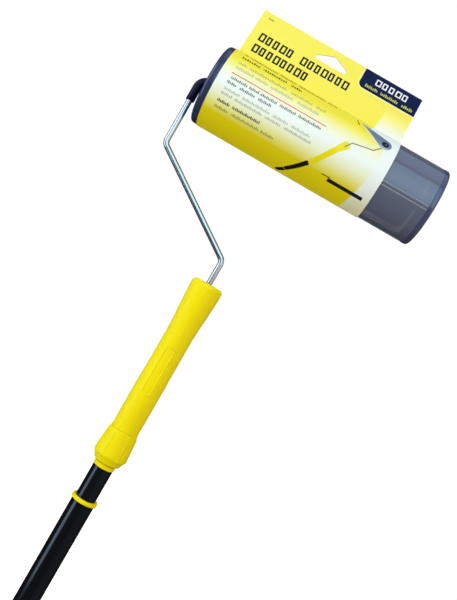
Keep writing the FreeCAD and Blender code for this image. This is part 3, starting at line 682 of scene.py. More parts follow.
def make_pole():
    """The two tubes and the ring at the outer tube's mouth."""
    black = pole_paint()
    wall = TUBE_WALL / MM
    for name, body, node, low, high, radius in (
            ("outer_tube_skin", "outer_pole", "outer_tube", TUBE_LOW, TUBE_HIGH, TUBE_RADIUS),
            ("inner_tube_skin", "inner_pole", "inner_tube", INNER_LOW, INNER_HIGH, INNER_RADIUS)):
        length = (high - low) / MM
        out = radius / MM
        tube = lathe(name, [(out - wall, 0, 0.2), (out, 0, 0.35), (out, length, 0.35),
                            (out - wall, length, 0.2)], low)
        place(tube, body, "tube_black", black, node)

    out = half_width("mouth_ring") / MM
    sleeve = TUBE_RADIUS / MM - wall - 0.05
    bore = INNER_RADIUS / MM + 0.1
    ring_low, ring_high = span("mouth_ring", 2)
    depth = (ring_low - TUBE_HIGH) / MM
    tall = (ring_high - TUBE_HIGH) / MM * RING_SHARE
    ring = lathe("mouth_ring_moulding", [
        (bore, depth, 0.2), (sleeve, depth, 0.4), (sleeve, 0, 0), (out - 0.2, 0, 0.5),
        (out, tall * 0.45, 1.2), (out - 0.15, tall, 1.3), (bore + 0.5, tall, 0.6),
        (bore, tall - 0.6, 0.3)], TUBE_HIGH)
    place(ring, "outer_pole", "yellow_plastic", materials["yellow"], "mouth_ring")


def make_butt_cap():
    """The foot plug: a domed end with two flats, a lead-in and a rounded hanging hole."""
    low = span("butt_cap", 2)[0] / MM + 0.02
    flat = half_width("butt_cap", 1) / MM
    sides, levels = 72, 34
    bm = bmesh.new()
    rings = []

    def add_level(height, reach, half_depth):
        rings.append(new_ring(bm, sides, lambda turn: flattened(reach, half_depth, turn, height)))

    for level in range(levels + 1):
        height = low + (CAP_TOP - low + 0.02) * level / levels
        reach = math.sqrt(max(CAP_RADIUS ** 2 - height ** 2, 0.2)) if height < 0 else CAP_RADIUS
        spread_out = max(height - CAP_SHOULDER, 0) * CAP_SPREAD
        add_level(height, reach, min(CAP_HALF_THICK + spread_out, reach))
    for height, reach in ((CAP_TOP, 11.75), (37.0, 11.7), (38.0, 10.7)):
        add_level(height, reach, reach)
    skin(bm, rings)
    bm.faces.new(rings[0])
    bm.faces.new(rings[-1])
    cap = finish_mesh("butt_cap_moulding", bm)

    def across_cap(radius, along, turn):
        return Vector((radius * math.cos(turn), along, radius * math.sin(turn)))

    hole = HOLE_RADIUS
    cutter = lathe("hole_cutter", [
        (0, -20, 0), (hole + 3, -20, 0), (hole + 3, -flat - 0.01, 0), (hole + 0.9, -flat, 0.8),
        (hole, -flat + 0.9, 0.8), (hole, flat - 0.9, 0.8), (hole + 0.9, flat, 0.8),
        (hole + 3, flat + 0.01, 0), (hole + 3, 20, 0), (0, 20, 0)], 0,
        where=across_cap, segments=48, closed=False)
    cut = cap.modifiers.new("hole", "BOOLEAN")
    cut.operation = "DIFFERENCE"
    cut.solver = "EXACT"
    cut.object = cutter
    apply_modifiers(cap)
    bpy.data.objects.remove(cutter)
    shade(cap.data)
    place(cap, "outer_pole", "cap_black", materials["cap"], "butt_cap")


def flattened(reach, half_depth, turn, height):
    """A point on a circle whose front and back are cut off flat, in millimetres."""
    x = reach * math.cos(turn)
    y = max(-half_depth, min(half_depth, reach * math.sin(turn)))
    return Vector((x, y, height)) * MM


def apply_modifiers(piece):
    """Bake a piece's modifiers into its mesh."""
    graph = bpy.context.evaluated_depsgraph_get()
    graph.update()
    mesh = bpy.data.meshes.new_from_object(piece.evaluated_get(graph), depsgraph=graph)
    piece.modifiers.clear()
    piece.data = mesh


def make_tip():
    """The yellow ring, neck and stem at the inner tube's end."""
    plug = INNER_RADIUS / MM - 0.95
    ring = half_width("tip_insert") / MM
    tip = lathe("tip_insert_moulding", [
        (6, -26, 0.3), (plug, -26, 0.6), (plug, 0, 0), (ring, 0, 0.4), (ring, 4.5, 0.9),
        (10.2, 4.5, 0.5), (10.2, 9.5, 0.4), (9, 10.7, 0.4), (9, 72.5, 0.6), (7.5, 74, 0.6),
        (6, 74, 0.3)], INNER_HIGH)
    place(tip, "inner_pole", "yellow_plastic", materials["yellow"], "tip_insert")


# --- pieces: collar and grip ------------------------------------------------------------------

def smooth_step(value, low, high):
    """0 below low, 1 above high, smooth between."""
    t = max(0.0, min(1.0, (value - low) / (high - low)))
    return t * t * (3 - 2 * t)


def curve_through(stops, place_along):
    """A radius through (height, radius) stops, halfway between straight and smooth steps."""
    for (h0, r0), (h1, r1) in zip(stops, stops[1:]):
        if place_along <= h1:
            straight = max(0.0, min(1.0, (place_along - h0) / (h1 - h0)))
            return r0 + (r1 - r0) * (straight + smooth_step(place_along, h0, h1)) / 2
    return stops[-1][1]


def edge_loss(from_end, rounding):
    """What a rounded edge takes off a radius, at a distance from its end."""
    if from_end >= rounding:
        return 0.0
    return rounding - math.sqrt(max(rounding ** 2 - (rounding - from_end) ** 2, 0))


def wrap_surface(name, heights, segments, radius_at, inner_profile, base):
    """A moulded sleeve: its outside from a radius for each height and turn, its inside turned."""
    bm = bmesh.new()
    rings = [new_ring(bm, segments, lambda turn: on_pole(
        radius_at(height, turn) * MM, base + height * MM, turn)) for height in heights]
    rings += [new_ring(bm, segments, lambda turn: on_pole(radius * MM, base + height * MM, turn))
              for radius, height in inner_profile]
    skin(bm, rings, closed=True)
    return finish_mesh(name, bm, 50)


RIB_COUNT, RIB_PROUD = 6, 0.65
RIB_FIRST = math.radians(6)
COLLAR_TALL = (COLLAR_HIGH - COLLAR_LOW) / MM
COLLAR_SKIRT, COLLAR_BELT, COLLAR_SHOULDER = 5.5, 8.5, 33  # heights where the cone's slope changes
FOOT_RADIUS, SKIRT_TOP_RADIUS, BELT_RADIUS, SHOULDER_RADIUS = 14.4, 16.6, 17.9, 16.0


def collar_radius(height, turn):
    """The collar's outside: a cone with six raised ribs that stop short of its two rims."""
    if height < COLLAR_SKIRT:
        radius = FOOT_RADIUS + (SKIRT_TOP_RADIUS - FOOT_RADIUS) * (height / COLLAR_SKIRT)
    elif height < COLLAR_BELT:
        climb = (height - COLLAR_SKIRT) / (COLLAR_BELT - COLLAR_SKIRT)
        radius = SKIRT_TOP_RADIUS + (BELT_RADIUS - SKIRT_TOP_RADIUS) * math.sin(math.pi / 2 * climb)
    elif height < COLLAR_SHOULDER:
        climb = (height - COLLAR_BELT) / (COLLAR_SHOULDER - COLLAR_BELT)
        radius = BELT_RADIUS - (BELT_RADIUS - SHOULDER_RADIUS) * climb ** 1.15
    else:
        radius = SHOULDER_RADIUS - 0.35 * smooth_step(height, COLLAR_SHOULDER, COLLAR_TALL)
    radius -= edge_loss(height, 0.6) + edge_loss(COLLAR_TALL - height, 0.7)
    step = math.tau / RIB_COUNT
    away = abs((turn - RIB_FIRST + step / 2) % step - step / 2) * radius
    proud = 1 - smooth_step(away, 0.35, 1.15)
    proud *= smooth_step(height, 5.6, 6.6) * (1 - smooth_step(height, 34.4, 35.4))
    return radius + RIB_PROUD * proud


def make_collar():
    """The ribbed locking collar."""
    top = COLLAR_TALL
    heights = [0, 0.1, 0.3, 0.6, 2, 4, 5.3, 5.6, 5.9, 6.2, 6.6, 7.2, 7.8, 8.5]
    heights += [8.5 + 2 * i for i in range(1, 12)]
    heights += [32, 33, 33.8, 34.4, 34.7, 35.0, 35.4, 36, top - 0.7, top - 0.4, top - 0.15, top]
    inside = [(13.3, top), (13.0, top - 0.4), (13, 5), (10.7, 5), (10.7, 0.2), (10.9, 0)]
    collar = wrap_surface("lock_collar_moulding", heights, 288, collar_radius, inside, COLLAR_LOW)
    place(collar, "lock_collar", "yellow_plastic", materials["yellow"], "lock_collar")


GRIP_STOPS = [
    (0, 14.9), (10, 14.8), (60, 14.8), (68, 14.5), (115, 14.4), (126, 14.9), (144, 16.1),
    (159, 16.9), (166, 17.2), (175, 17.3)]
GRIP_TALL = (GRIP_HIGH - GRIP_LOW) / MM
PANEL_LOW, PANEL_HIGH, PANEL_HALF, PANEL_DEPTH, PANEL_CORNER_RADIUS = 45.0, 99.0, 4.4, 0.55, 1.2
DIMPLE_HEIGHT, DIMPLE_X, DIMPLE_RADIUS, DIMPLE_DEPTH = 16.3, -4.0, 0.8, 0.5
HEAD_ROUNDING = 4.5
SEAM_PROUD = 0.07


def grip_radius(height, turn):
    """The grip's outside: waist, flare and rounded head, a sunk panel, a dimple and mould seams."""
    radius = curve_through(GRIP_STOPS, height)
    radius -= edge_loss(GRIP_TALL - height, HEAD_ROUNDING) + edge_loss(height, 0.7)
    across = radius * math.cos(turn)
    if math.sin(turn) < 0:
        corner = PANEL_CORNER_RADIUS
        dx = max(abs(across) - (PANEL_HALF - corner), 0)
        dh = max(PANEL_LOW + corner - height, height - PANEL_HIGH + corner, 0)
        radius -= PANEL_DEPTH * (1 - smooth_step(math.hypot(dx, dh) - corner, -0.35, 0.1))
        spot = math.hypot(across - DIMPLE_X, height - DIMPLE_HEIGHT)
        radius -= DIMPLE_DEPTH * (1 - smooth_step(spot, DIMPLE_RADIUS * 0.4, DIMPLE_RADIUS))
    seam = abs(math.sin(turn)) * radius
    return radius + SEAM_PROUD * (1 - smooth_step(seam, 0.12, 0.3))


def make_grip():
    """The flared grip, as one fine surface with closer rings where its relief is."""
    top = GRIP_TALL
    heights = [0, 0.15, 0.35, 0.7]
    height = heights[-1]
    fine_zones = ((DIMPLE_HEIGHT - 1.2, DIMPLE_HEIGHT + 1.2), (PANEL_LOW - 0.6, PANEL_LOW + 1.8),
                  (PANEL_HIGH - 1.8, PANEL_HIGH + 0.6))
    while height < top - HEAD_ROUNDING - 1.3:
        height += 0.22 if any(low < height < high for low, high in fine_zones) else 1.5
        heights.append(height)
    heights += [top - HEAD_ROUNDING * (1 - math.sin(math.pi / 2 * i / 9)) for i in range(9)]
    heights.append(top - 0.001)
    rim = grip_radius(top - 0.001, math.pi / 2)
    inside = [(rim - 0.4, top), (11.5, top), (11.05, top - 0.4), (11.05, 0.3), (11.4, 0)]
    grip = wrap_surface("grip_moulding", heights, 320, grip_radius, inside, GRIP_LOW)
    place(grip, "roller_frame", "yellow_plastic", materials["yellow"], "grip")


# --- pieces: the bent rod ---------------------------------------------------------------------

def bar_stations(points, radius, lip):
    """Stations for a solid bar along a path, with a rounded edge at each end."""
    ways = tangents(points)

    def rounded_end(point, inward):
        stations = [(point, inward, 0)]
        for angle in (0, 30, 60, 90):
            turned = math.radians(angle)
            stations.append((point + inward * lip * (1 - math.cos(turned)), inward,
                             radius - lip * (1 - math.sin(turned))))
        return stations

    far = [(point, -way, reach) for point, way, reach in rounded_end(points[-1], -ways[-1])]
    middle = [(point, way, radius) for point, way in zip(points[1:-1], ways[1:-1])]
    return rounded_end(points[0], ways[0]) + middle + far[::-1]


def sleeve_stations(points, radius, bore, lip):
    """Stations for a hollow bar along a path: up its outside, and back down its bore."""
    ways = tangents(points)
    outside = [(point, way, radius) for point, way in zip(points[1:-1], ways[1:-1])]
    inside = [(point, way, bore) for point, way, _ in outside[::-1]]
    first, last = points[0], points[-1]
    foot, tip = ways[0], ways[-1]
    return [
        (first, foot, bore + 0.2 * MM), (first, foot, radius - lip),
        (first + foot * lip * 0.3, foot, radius - lip * 0.3), (first + foot * lip, foot, radius),
        *outside,
        (last - tip * lip, tip, radius), (last - tip * lip * 0.3, tip, radius - lip * 0.3),
        (last, tip, radius - lip), (last, tip, bore), *inside]


def make_rod():
    """The bent rod and the navy sleeve round its elbow."""
    foot = Vector((0, 0, span("rod", 2)[0]))
    elbow = Vector((ROD_LEFT, 0, ROLLER_Z))
    points = rounded_path(
        [foot, Vector((0, 0, LOW_BEND_Z)), Vector((ROD_LEFT, 0, HIGH_BEND_Z)), elbow,
         Vector((ROD_RIGHT, 0, ROLLER_Z))], [BEND_RADIUS, BEND_RADIUS, ELBOW_RADIUS])
    rod = sweep("rod_wire", bar_stations(points, ROD_RADIUS, 0.7 * MM))
    place(rod, "roller_frame", "rod_zinc", materials["zinc"], "rod")

    sleeve_low = span("elbow_sleeve", 2)[0]
    sleeve_right = span("elbow_sleeve", 0)[1]
    points = rounded_path(
        [Vector((ROD_LEFT, 0, sleeve_low)), elbow, Vector((sleeve_right, 0, ROLLER_Z))],
        [ELBOW_RADIUS], 20)
    sleeve = sweep("elbow_sleeve_moulding", sleeve_stations(
        points, half_width("elbow_sleeve", 1), ROD_RADIUS + 0.03 * MM, 0.5 * MM))
    place(sleeve, "roller_frame", "navy_plastic", materials["navy"], "elbow_sleeve")


# --- pieces: the splatter shield --------------------------------------------------------------

MOUTH_TURN = math.acos(-MOUTH_Y / SHELL_RADIUS)
SEAM_TURN = math.radians(-11.3)
SEAM_GAP = 0.0012  # half the gap between the two walls, as a turn
SEAM_RIB_AWAY = 2 * MM  # from the seam to each of its two ribs
RIGHT_RIM = 6.4  # width of the right end's rim
WALL_RIGHT = SHIELD_RIGHT - RIGHT_RIM * MM

# an end's outline: its outer face is at 0, and the hub and the skirt reach inwards
RIM = RIM_RADIUS / MM
SKIRT = SHELL_RADIUS / MM - 1.9
LEFT_RIM, HUB_REACH, BLIND_FLOOR = 8.8, 8, 2.8
INSIDE_OF_END = [
    (SKIRT, 14.8, 0.4), (SKIRT - 1.3, 14.8, 0.4), (SKIRT - 1.3, 5, 2.5), (SKIRT - 4.3, 2, 1.5),
    (8.3, 2, 0.8), (7.3, HUB_REACH, 0.5)]
STEP_DEPTH = 0.7
STEP_OUTER, STEP_INNER = (28.4, 0, 0.4), (27.6, STEP_DEPTH, 0.4)


def make_wall(name, start, stop, node):
    """Part of the shield's curved wall, from the seam to the mouth."""
    steps = 72
    turns = [start + (stop - start) * index / steps for index in range(steps + 1)]
    section = [(SHELL_RADIUS, turn) for turn in turns]
    section += [(SHELL_RADIUS - SHELL_WALL, turn) for turn in reversed(turns)]
    bm = bmesh.new()
    lip = 0.3 * MM
    columns = [[bm.verts.new(on_roller(radius, along, turn)) for radius, turn in section]
               for along in (SHELL_LEFT, SHELL_LEFT + lip, WALL_RIGHT - lip, WALL_RIGHT)]
    skin(bm, columns)
    for column in (columns[0], columns[-1]):
        for index in range(steps):
            far = 2 * steps + 1 - index
            bm.faces.new((column[index], column[index + 1], column[far - 1], column[far]))
    place(finish_mesh(name, bm), "shield", "smoky_plastic", materials["smoky"], node)


def make_bead(name, turn, radius, bead, material, slot):
    """A round bar with rounded ends that runs along the wall."""
    bm = bmesh.new()
    centre = on_roller(radius, 0, turn)
    lip = bead * 0.5
    rings = []
    for along, reach in (
            (SHELL_LEFT, bead - lip), (SHELL_LEFT + lip * 0.4, bead - lip * 0.3),
            (SHELL_LEFT + lip, bead), (WALL_RIGHT - lip, bead),
            (WALL_RIGHT - lip * 0.4, bead - lip * 0.3), (WALL_RIGHT, bead - lip)):
        rings.append(new_ring(bm, 20, lambda round_bar: Vector((
            along, centre.y + reach * math.cos(round_bar), centre.z + reach * math.sin(round_bar)))))
    skin(bm, rings)
    bm.faces.new(rings[0])
    bm.faces.new(rings[-1])
    place(finish_mesh(name, bm), "shield", slot, material)


def make_end(name, outline, base, flip, closed, look, node):
    """An end of the shield: a turned pan, cut off flat at the mouth."""
    pan = lathe(name, outline, base, where=on_roller, flip=flip, segments=160, closed=closed)
    bm = bmesh.new()
    bm.from_mesh(pan.data)
    cut = bmesh.ops.bisect_plane(
        bm, geom=bm.verts[:] + bm.edges[:] + bm.faces[:], plane_co=(0, MOUTH_Y, 0),
        plane_no=(0, 1, 0), clear_outer=True)
    edges = [item for item in cut["geom_cut"] if isinstance(item, bmesh.types.BMEdge)]
    bmesh.ops.triangle_fill(bm, edges=edges, use_beauty=True)
    bmesh.ops.recalc_face_normals(bm, faces=bm.faces)
    bm.to_mesh(pan.data)
    bm.free()
    shade(pan.data)
    place(pan, "shield", "rim_plastic", materials[look], node)


def make_shield():
    """The see-through wall in two halves, its lips and seam ribs, and the two end pans."""
    make_wall("shield_upper_wall", SEAM_TURN + SEAM_GAP, MOUTH_TURN, "shield_upper_shell")
    make_wall("shield_lower_wall", SEAM_TURN - SEAM_GAP, -MOUTH_TURN, "shield_lower_shell")
    for side, name in ((1, "upper"), (-1, "lower")):
        make_bead("shield_%s_lip" % name, side * MOUTH_TURN, SHELL_RADIUS - SHELL_WALL / 2,
                  1.25 * MM, materials["end"], "rim_plastic")
    # the seam ribs: their material's lighter grey than the wall is a painted highlight along them
    for number, side in ((1, -1), (2, 1)):
        make_bead("shield_seam_rib_%d" % number, SEAM_TURN + side * SEAM_RIB_AWAY / SHELL_RADIUS,
                  SHELL_RADIUS - 0.55 * MM, 0.85 * MM, materials["seam"], "smoky_plastic")

    journal = half_width("elbow_sleeve", 1) / MM + 0.1
    make_end("shield_left_pan", [
        (RIM - 0.25, 0, 5.4), (RIM, LEFT_RIM, 0.5), (SKIRT, LEFT_RIM, 0.15), *INSIDE_OF_END,
        (journal, HUB_REACH, 0.3), (journal, 0, 0.4), (journal + 5.4, 0, 0.4),
        (journal + 6.2, STEP_DEPTH, 0.4), STEP_INNER, STEP_OUTER],
        SHIELD_LEFT, 1, True, "dark end", "shield_left_end")

    socket = ROD_RADIUS / MM + 0.1
    make_end("shield_right_pan", [
        (0, BLIND_FLOOR, 0), (socket, BLIND_FLOOR, 0), (socket, HUB_REACH, 0.3),
        *reversed(INSIDE_OF_END), (SKIRT, RIGHT_RIM, 0), (SHELL_RADIUS / MM, RIGHT_RIM, 0.1),
        (RIM, 5.3, 0.8), (RIM - 0.25, 0, 4.6), STEP_OUTER, STEP_INNER, (9.2, STEP_DEPTH, 0.4),
        (8.4, 0, 0.4), (0, 0, 0)],
        SHIELD_RIGHT, -1, False, "end", "shield_right_end")


# --- pieces: the cover ------------------------------------------------------------------------

PILE_BEVEL, PILE_ROUNDING, CORE_RADIUS = 6.2, 6.0, 20.9


def make_nap():
    """The cover's pile: a fine surface with the lie of a knit, rounded to its two ends."""
    out = NAP_RADIUS / MM - 0.2
    length = (COVER_RIGHT - COVER_LEFT) / MM
    near_end = [0.05, 0.3, 0.8, 1.5, 2.4, 3.5, 4.8, PILE_BEVEL]
    steps, segments = 120, 220
    middle = [PILE_BEVEL + (length - 2 * PILE_BEVEL) * i / steps for i in range(1, steps)]
    bm = bmesh.new()
    rings = []
    for along in near_end + middle + [length - value for value in reversed(near_end)]:
        inwards = min(min(along, length - along) / PILE_BEVEL, 1)
        radius = out - PILE_ROUNDING * (1 - math.sqrt(max(1 - (1 - inwards) ** 2, 0)))
        place_along = COVER_LEFT + along * MM

        def pile_point(turn):
            spot = on_roller(radius * MM, place_along, turn)
            tuft = noise.noise(spot * 900) * 0.28 + noise.noise(spot * 230) * 0.22
            knit = 0.1 * math.sin(along * 2.1 + turn * 18)
            return on_roller((radius + min(tuft + knit, 0.2) - 0.1) * MM, place_along, turn)

        rings.append(new_ring(bm, segments, pile_point))
    for along in (COVER_RIGHT, COVER_LEFT):
        rings.append(new_ring(bm, segments, lambda turn: on_roller(CORE_RADIUS * MM, along, turn)))
    skin(bm, rings, closed=True)
    place(finish_mesh("cover_pile", bm, 80), "roller", "nap_fabric", materials["pile"], "cover_nap")


# --- pieces: the printed card -----------------------------------------------------------------

def layout_point(across, up):
    """UV of a place on the card; see Artwork."""
    return ((across - LAYOUT_LEFT) / LAYOUT_SIZE, (up - LAYOUT_LOW) / LAYOUT_SIZE)


SLOT_MIDDLE, SLOT_LOW, SLOT_HIGH, SLOT_HALF = -4.5, 41.0, 54.6, 18.5
SLOT_LOBE, SLOT_TIP = 3.1, 4.2
BACK_ACROSS = -110.0  # a place on the layout with no print, for the header's back


def slot_outline(steps=7):
    """The hanging slot: a low rounded triangle, as points anticlockwise in millimetres."""
    circles = [
        (SLOT_MIDDLE - SLOT_HALF + SLOT_LOBE, SLOT_LOW + SLOT_LOBE, SLOT_LOBE),
        (SLOT_MIDDLE + SLOT_HALF - SLOT_LOBE, SLOT_LOW + SLOT_LOBE, SLOT_LOBE),
        (SLOT_MIDDLE, SLOT_HIGH - SLOT_TIP, SLOT_TIP)]
    headings = []
    for index, (x1, y1, r1) in enumerate(circles):
        x2, y2, r2 = circles[(index + 1) % 3]
        narrowing = math.acos((r1 - r2) / math.hypot(x2 - x1, y2 - y1))
        headings.append(math.atan2(y2 - y1, x2 - x1) - narrowing)
    outline = []
    for index, (x, y, radius) in enumerate(circles):
        first = headings[index - 1]
        turn = (headings[index] - first) % math.tau
        for step in range(steps + 1):
            heading = first + turn * step / steps
            outline.append((x + radius * math.cos(heading), y + radius * math.sin(heading)))
    return outline


def header_point(across, up, depth):
    """A point of the header, in metres, depth going back through the board."""
    root = ROLLER_Z + CARD_RADIUS - CARD_THICK
    sine, cosine = math.sin(HEADER_LEAN), math.cos(HEADER_LEAN)
    return Vector((across * MM, up * MM * sine + depth * cosine - CARD_THICK,
                   root + up * MM * cosine - depth * sine))


HEADER_FOOT = -1.2  # the header starts a little below the crease, inside the sleeve's wall


def make_card():
    """The sleeve round the shield and its header, as one printed piece with a plain inside."""
    bm = bmesh.new()
    layout = bm.loops.layers.uv.new("layout")
    left, right = CARD_LEFT / MM, CARD_RIGHT / MM
    segments, columns = 192, 8
    outer = CARD_RADIUS
    inner = CARD_RADIUS - CARD_THICK

    def add_face(points, places, printed):
        face = bm.faces.new([bm.verts.new(point) for point in points])
        face.material_index = 0 if printed else 1
        for loop, spot in zip(face.loops, places):
            loop[layout].uv = layout_point(*spot)

    for radius, printed in ((outer, True), (inner, False)):
        for k in range(segments):
            first = math.pi / 2 - math.tau * k / segments
            second = math.pi / 2 - math.tau * (k + 1) / segments
            for c in range(columns):
                x0 = left + (right - left) * c / columns
                x1 = left + (right - left) * (c + 1) / columns
                spots = ((x0, first), (x1, first), (x1, second), (x0, second))
                add_face([on_roller(radius, x * MM, turn) for x, turn in spots],
                         [(x, (turn - math.pi / 2) * outer / MM) for x, turn in spots], printed)
    for along in (left, right):
        for k in range(segments):
            first = math.tau * k / segments
            second = math.tau * (k + 1) / segments
            corners = ((inner, first), (outer, first), (outer, second), (inner, second))
            add_face([on_roller(radius, along * MM, turn) for radius, turn in corners],
                     [(along, 0)] * 4, False)

    top = (CARD_TOP - (ROLLER_Z + inner)) / MM / math.cos(HEADER_LEAN)
    border = [(left, HEADER_FOOT), (right, HEADER_FOOT), (right, top), (left, top)]
    outlines = (border, slot_outline())
    flat = bmesh.new()
    rings = [[flat.verts.new((x, y, 0)) for x, y in outline] for outline in outlines]
    edges = [flat.edges.new((ring[i], ring[(i + 1) % len(ring)]))
             for ring in rings for i in range(len(ring))]
    bmesh.ops.triangle_fill(flat, edges=edges, use_beauty=True)
    doubled = CARD_THICK * 2
    for depth in (0, doubled):
        for face in flat.faces:
            spots = [(vert.co.x, vert.co.y) for vert in face.verts]
            layout_spots = [(x if depth == 0 else BACK_ACROSS, y) for x, y in spots]
            add_face([header_point(x, y, depth) for x, y in spots], layout_spots, True)
    flat.free()
    for outline in outlines:
        for index, first in enumerate(outline):
            second = outline[(index + 1) % len(outline)]
            add_face([header_point(*first, 0), header_point(*second, 0),
                      header_point(*second, doubled), header_point(*first, doubled)],
                     [first] * 4, False)
    bmesh.ops.remove_doubles(bm, verts=bm.verts[:], dist=1e-6)
    card = finish_mesh("card_sleeve_printed", bm)
    place(card, "card", "printed_card", materials["card"], "card_sleeve")
    card.data.materials.append(materials["board"])


# --- CAD nodes that stay ----------------------------------------------------------------------

NODE_LOOKS = {
    "nylon": ["cam_ring", "lock_core", "left_washer", "right_washer"],
    "zinc": ["cam_washer", "cam_screw", "rod_pin", "push_nut", "cage_wires"],
    "yellow": ["grip_core"],
    "cage": ["cage_left_plug", "cage_right_plug", "cage_middle_disc"],
    "core": ["cover_core"]}


def dress_nodes():
    """Give every CAD node that still shows its own material."""
    for look, nodes in NODE_LOOKS.items():
        for node in nodes:
            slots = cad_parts[node].data.materials
            slots.clear()
            slots.append(materials[look])


# --- the studio -------------------------------------------------------------------------------

CAMERA_PLACE = Vector((0.0259, -0.850, 0.8803))
CAMERA_ROLL = math.radians(30)
CAMERA_LENS, CAMERA_SENSOR = 49.2, 36


def make_camera():
    """The camera, level with the grip and rolled so that the pole runs down to the left."""
    data = bpy.data.cameras.new("camera")
    data.lens = CAMERA_LENS
    data.sensor_width = CAMERA_SENSOR
    data.clip_start = 0.01
    camera = bpy.data.objects.new("camera", data)
    bpy.context.scene.collection.objects.link(camera)
    right = Vector((math.cos(CAMERA_ROLL), 0, math.sin(CAMERA_ROLL)))
    up = Vector((-math.sin(CAMERA_ROLL), 0, math.cos(CAMERA_ROLL)))
    back = Vector((0, -1, 0))
    camera.matrix_world = Matrix((
        (right.x, up.x, back.x, CAMERA_PLACE.x), (right.y, up.y, back.y, CAMERA_PLACE.y),
        (right.z, up.z, back.z, CAMERA_PLACE.z), (0, 0, 0, 1)))
    bpy.context.scene.camera = camera


# name, place, target, width, height, power, colour, and whether it shows in gloss and on matt
SOFTBOXES = [
    ("key", (-1.15, -0.55, 1.0), (0, 0, 0.85), 0.70, 1.9, 13.0, (0.70, 0.84, 1.0), True, True),
    ("fill", (0.15, -1.5, 1.77), (0, 0, 1.0), 1.0, 1.0, 11.5, (1.0, 1.0, 1.0), False, True),
    ("warm", (1.3, -0.9, 0.85), (0, 0, 0.85), 0.8, 1.2, 3.2, (1.0, 0.88, 0.72), False, True),
    ("sky", (0.15, -0.85, 1.50), (0.05, 0, 1.06), 0.9, 1.15, 6.8, (0.34, 0.70, 1.0), True, False),
    ("sky_high", (0.05, 0.0, 2.0), (0.05, 0, 1.06), 0.9, 0.8, 2.4, (0.44, 0.60, 1.0), True, False),
    ("top", (0.1, 0.1, 2.1), (0, 0, 1.06), 0.9, 0.7, 0.8, (0.9, 0.95, 1.0), False, True),
    ("back", (0.3, 1.4, 1.3), (0, 0, 1.0), 1.5, 1.5, 7.5, (1, 1, 1), False, True)]


def make_softbox(name, place_at, target, width, height, power, colour, glossy, diffuse):
    """A rectangular light that faces a target and doesn't show itself."""
    data = bpy.data.lights.new(name, "AREA")
    data.shape = "RECTANGLE"
    data.size = width
    data.size_y = height
    data.energy = power
    data.color = colour
    light = bpy.data.objects.new(name, data)
    bpy.context.scene.collection.objects.link(light)
    light.location = place_at
    light.rotation_euler = (Vector(target) - Vector(place_at)).to_track_quat("-Z", "Y").to_euler()
    light.visible_camera = False
    light.visible_glossy = glossy
    light.visible_diffuse = diffuse


AMBIENT = (0.41, 0.39, 0.35, 1)
# how bright gloss sees the surroundings along an axis: from, to, level at each
GLOSS_LEVELS = [
    ("Z", -0.14, 0.02, 0.13, 0.62), ("Z", 0.45, 0.85, 1.0, 0.3), ("Y", -0.1, 0.45, 1.0, 0.22),
    ("X", 0.25, 0.6, 1.0, 1.7)]
FLOOR_RINGS = (0.3, 0.9, 2.0, 4.0)
FLOOR_BELOW = 0.001
FLOOR_GLOW = (0.35, 1.3, 0.0, 0.8)  # from and to these distances, the floor's glow goes up


def make_world():
    """White surroundings, with softer light from them and their own levels in reflections."""
    world = bpy.data.worlds.new("studio")
    bpy.context.scene.world = world
    world.use_nodes = True
    tree = world.node_tree
    path = tree.nodes.new("ShaderNodeLightPath")
    way = tree.nodes.new("ShaderNodeTexCoord")
    parts = tree.nodes.new("ShaderNodeSeparateXYZ")
    tree.links.new(way.outputs["Generated"], parts.inputs[0])
    level = None
    for axis, *numbers in GLOSS_LEVELS:
        scaled = tree.nodes.new("ShaderNodeMapRange")
        for socket, value in zip(scaled.inputs[1:5], numbers):
            socket.default_value = value
        tree.links.new(parts.outputs[axis], scaled.inputs["Value"])
        if level is None:
            level = scaled.outputs[0]
            continue
        times = tree.nodes.new("ShaderNodeMath")
        times.operation = "MULTIPLY"
        tree.links.new(level, times.inputs[0])
        tree.links.new(scaled.outputs[0], times.inputs[1])
        level = times.outputs[0]
    gloss, seen = (tree.nodes.new("ShaderNodeMix") for _ in range(2))
    for shade_node, ray in ((gloss, "Is Glossy Ray"), (seen, "Is Camera Ray")):
        shade_node.data_type = "RGBA"
        tree.links.new(path.outputs[ray], shade_node.inputs["Factor"])
    gloss.inputs[6].default_value = AMBIENT
    tree.links.new(level, gloss.inputs[7])
    tree.links.new(gloss.outputs[2], seen.inputs[6])
    seen.inputs[7].default_value = (1, 1, 1, 1)
    tree.links.new(seen.outputs[2], tree.nodes["Background"].inputs["Color"])


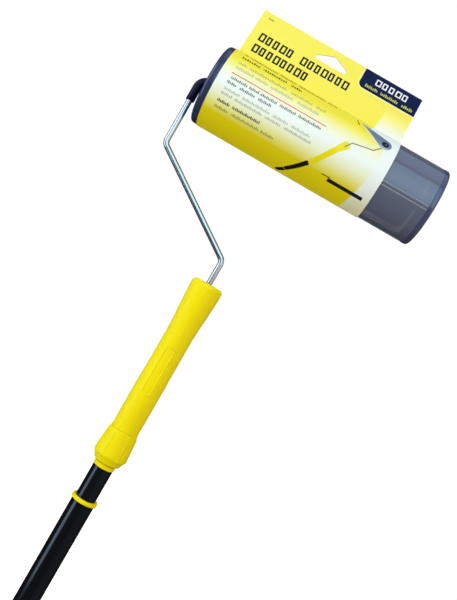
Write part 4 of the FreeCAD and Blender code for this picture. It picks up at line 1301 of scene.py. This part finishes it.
def make_floor():
    """A pale floor below the pole's foot, which fades into the white surroundings."""
    floor_low = min(cad_low[2], 0.0) - FLOOR_BELOW
    bm = bmesh.new()
    rings = [new_ring(bm, 96, lambda turn: (reach * math.cos(turn), reach * math.sin(turn), floor_low))
             for reach in FLOOR_RINGS]
    bm.faces.new(rings[0])
    skin(bm, rings)
    floor = finish_mesh("studio_floor", bm)
    shader = Shader("pale_floor", Roughness=0.7)
    distance = shader.node("ShaderNodeVectorMath", operation="LENGTH")
    shader.feed(distance.inputs[0], shader.place_coords)
    shader.paint(srgb(236, 236, 236))
    shader.feed(shader.shell.inputs["Emission Color"], srgb(255, 255, 255))
    shader.feed(shader.shell.inputs["Emission Strength"],
                shader.span(distance.outputs["Value"], *FLOOR_GLOW))
    floor.data.materials.append(shader.material)
    floor.visible_glossy = False
    floor.visible_diffuse = False


def make_studio():
    """The surroundings, the soft lights and the floor."""
    make_world()
    for softbox in SOFTBOXES:
        make_softbox(*softbox)
    make_floor()
    bpy.context.scene.view_settings.view_transform = "Standard"


# --- build ------------------------------------------------------------------------------------

materials = {
    "yellow": moulded_yellow(),
    "cap": plain_plastic("cap_moulding", (30, 30, 30)),
    "nylon": plain_plastic("white_nylon", (226, 226, 216)),
    "zinc": zinc_wire(),
    "navy": navy_vinyl(),
    "smoky": smoky_plastic("smoky_wall", (106, 113, 136), (98, 105, 128), 0.82),
    "end": smoky_plastic("smoky_end", (74, 81, 112), (64, 71, 102), 0.93, 0.3),
    # seam ribs: the same plastic as the wall, made lighter grey as a painted highlight along the ribs
    "seam": smoky_plastic("smoky_seam_highlight", (152, 157, 168), (140, 145, 156), 0.9, 0.1),
    "dark end": smoky_plastic("dark_end", (47, 57, 92), (40, 49, 83), 0.95, 0.1),
    "cage": plain_plastic("cage_moulding", (30, 30, 32)),
    "core": raw_board("core_board", (176, 150, 112), (150, 124, 88)),
    "pile": knitted_pile(),
    "card": card_artwork(),
    "board": raw_board("raw_board", (226, 222, 210), (205, 199, 184)),
}

make_camera()
make_studio()
make_pole()
make_butt_cap()
make_tip()
make_collar()
make_grip()
make_rod()
make_shield()
make_nap()
make_card()
dress_nodes()
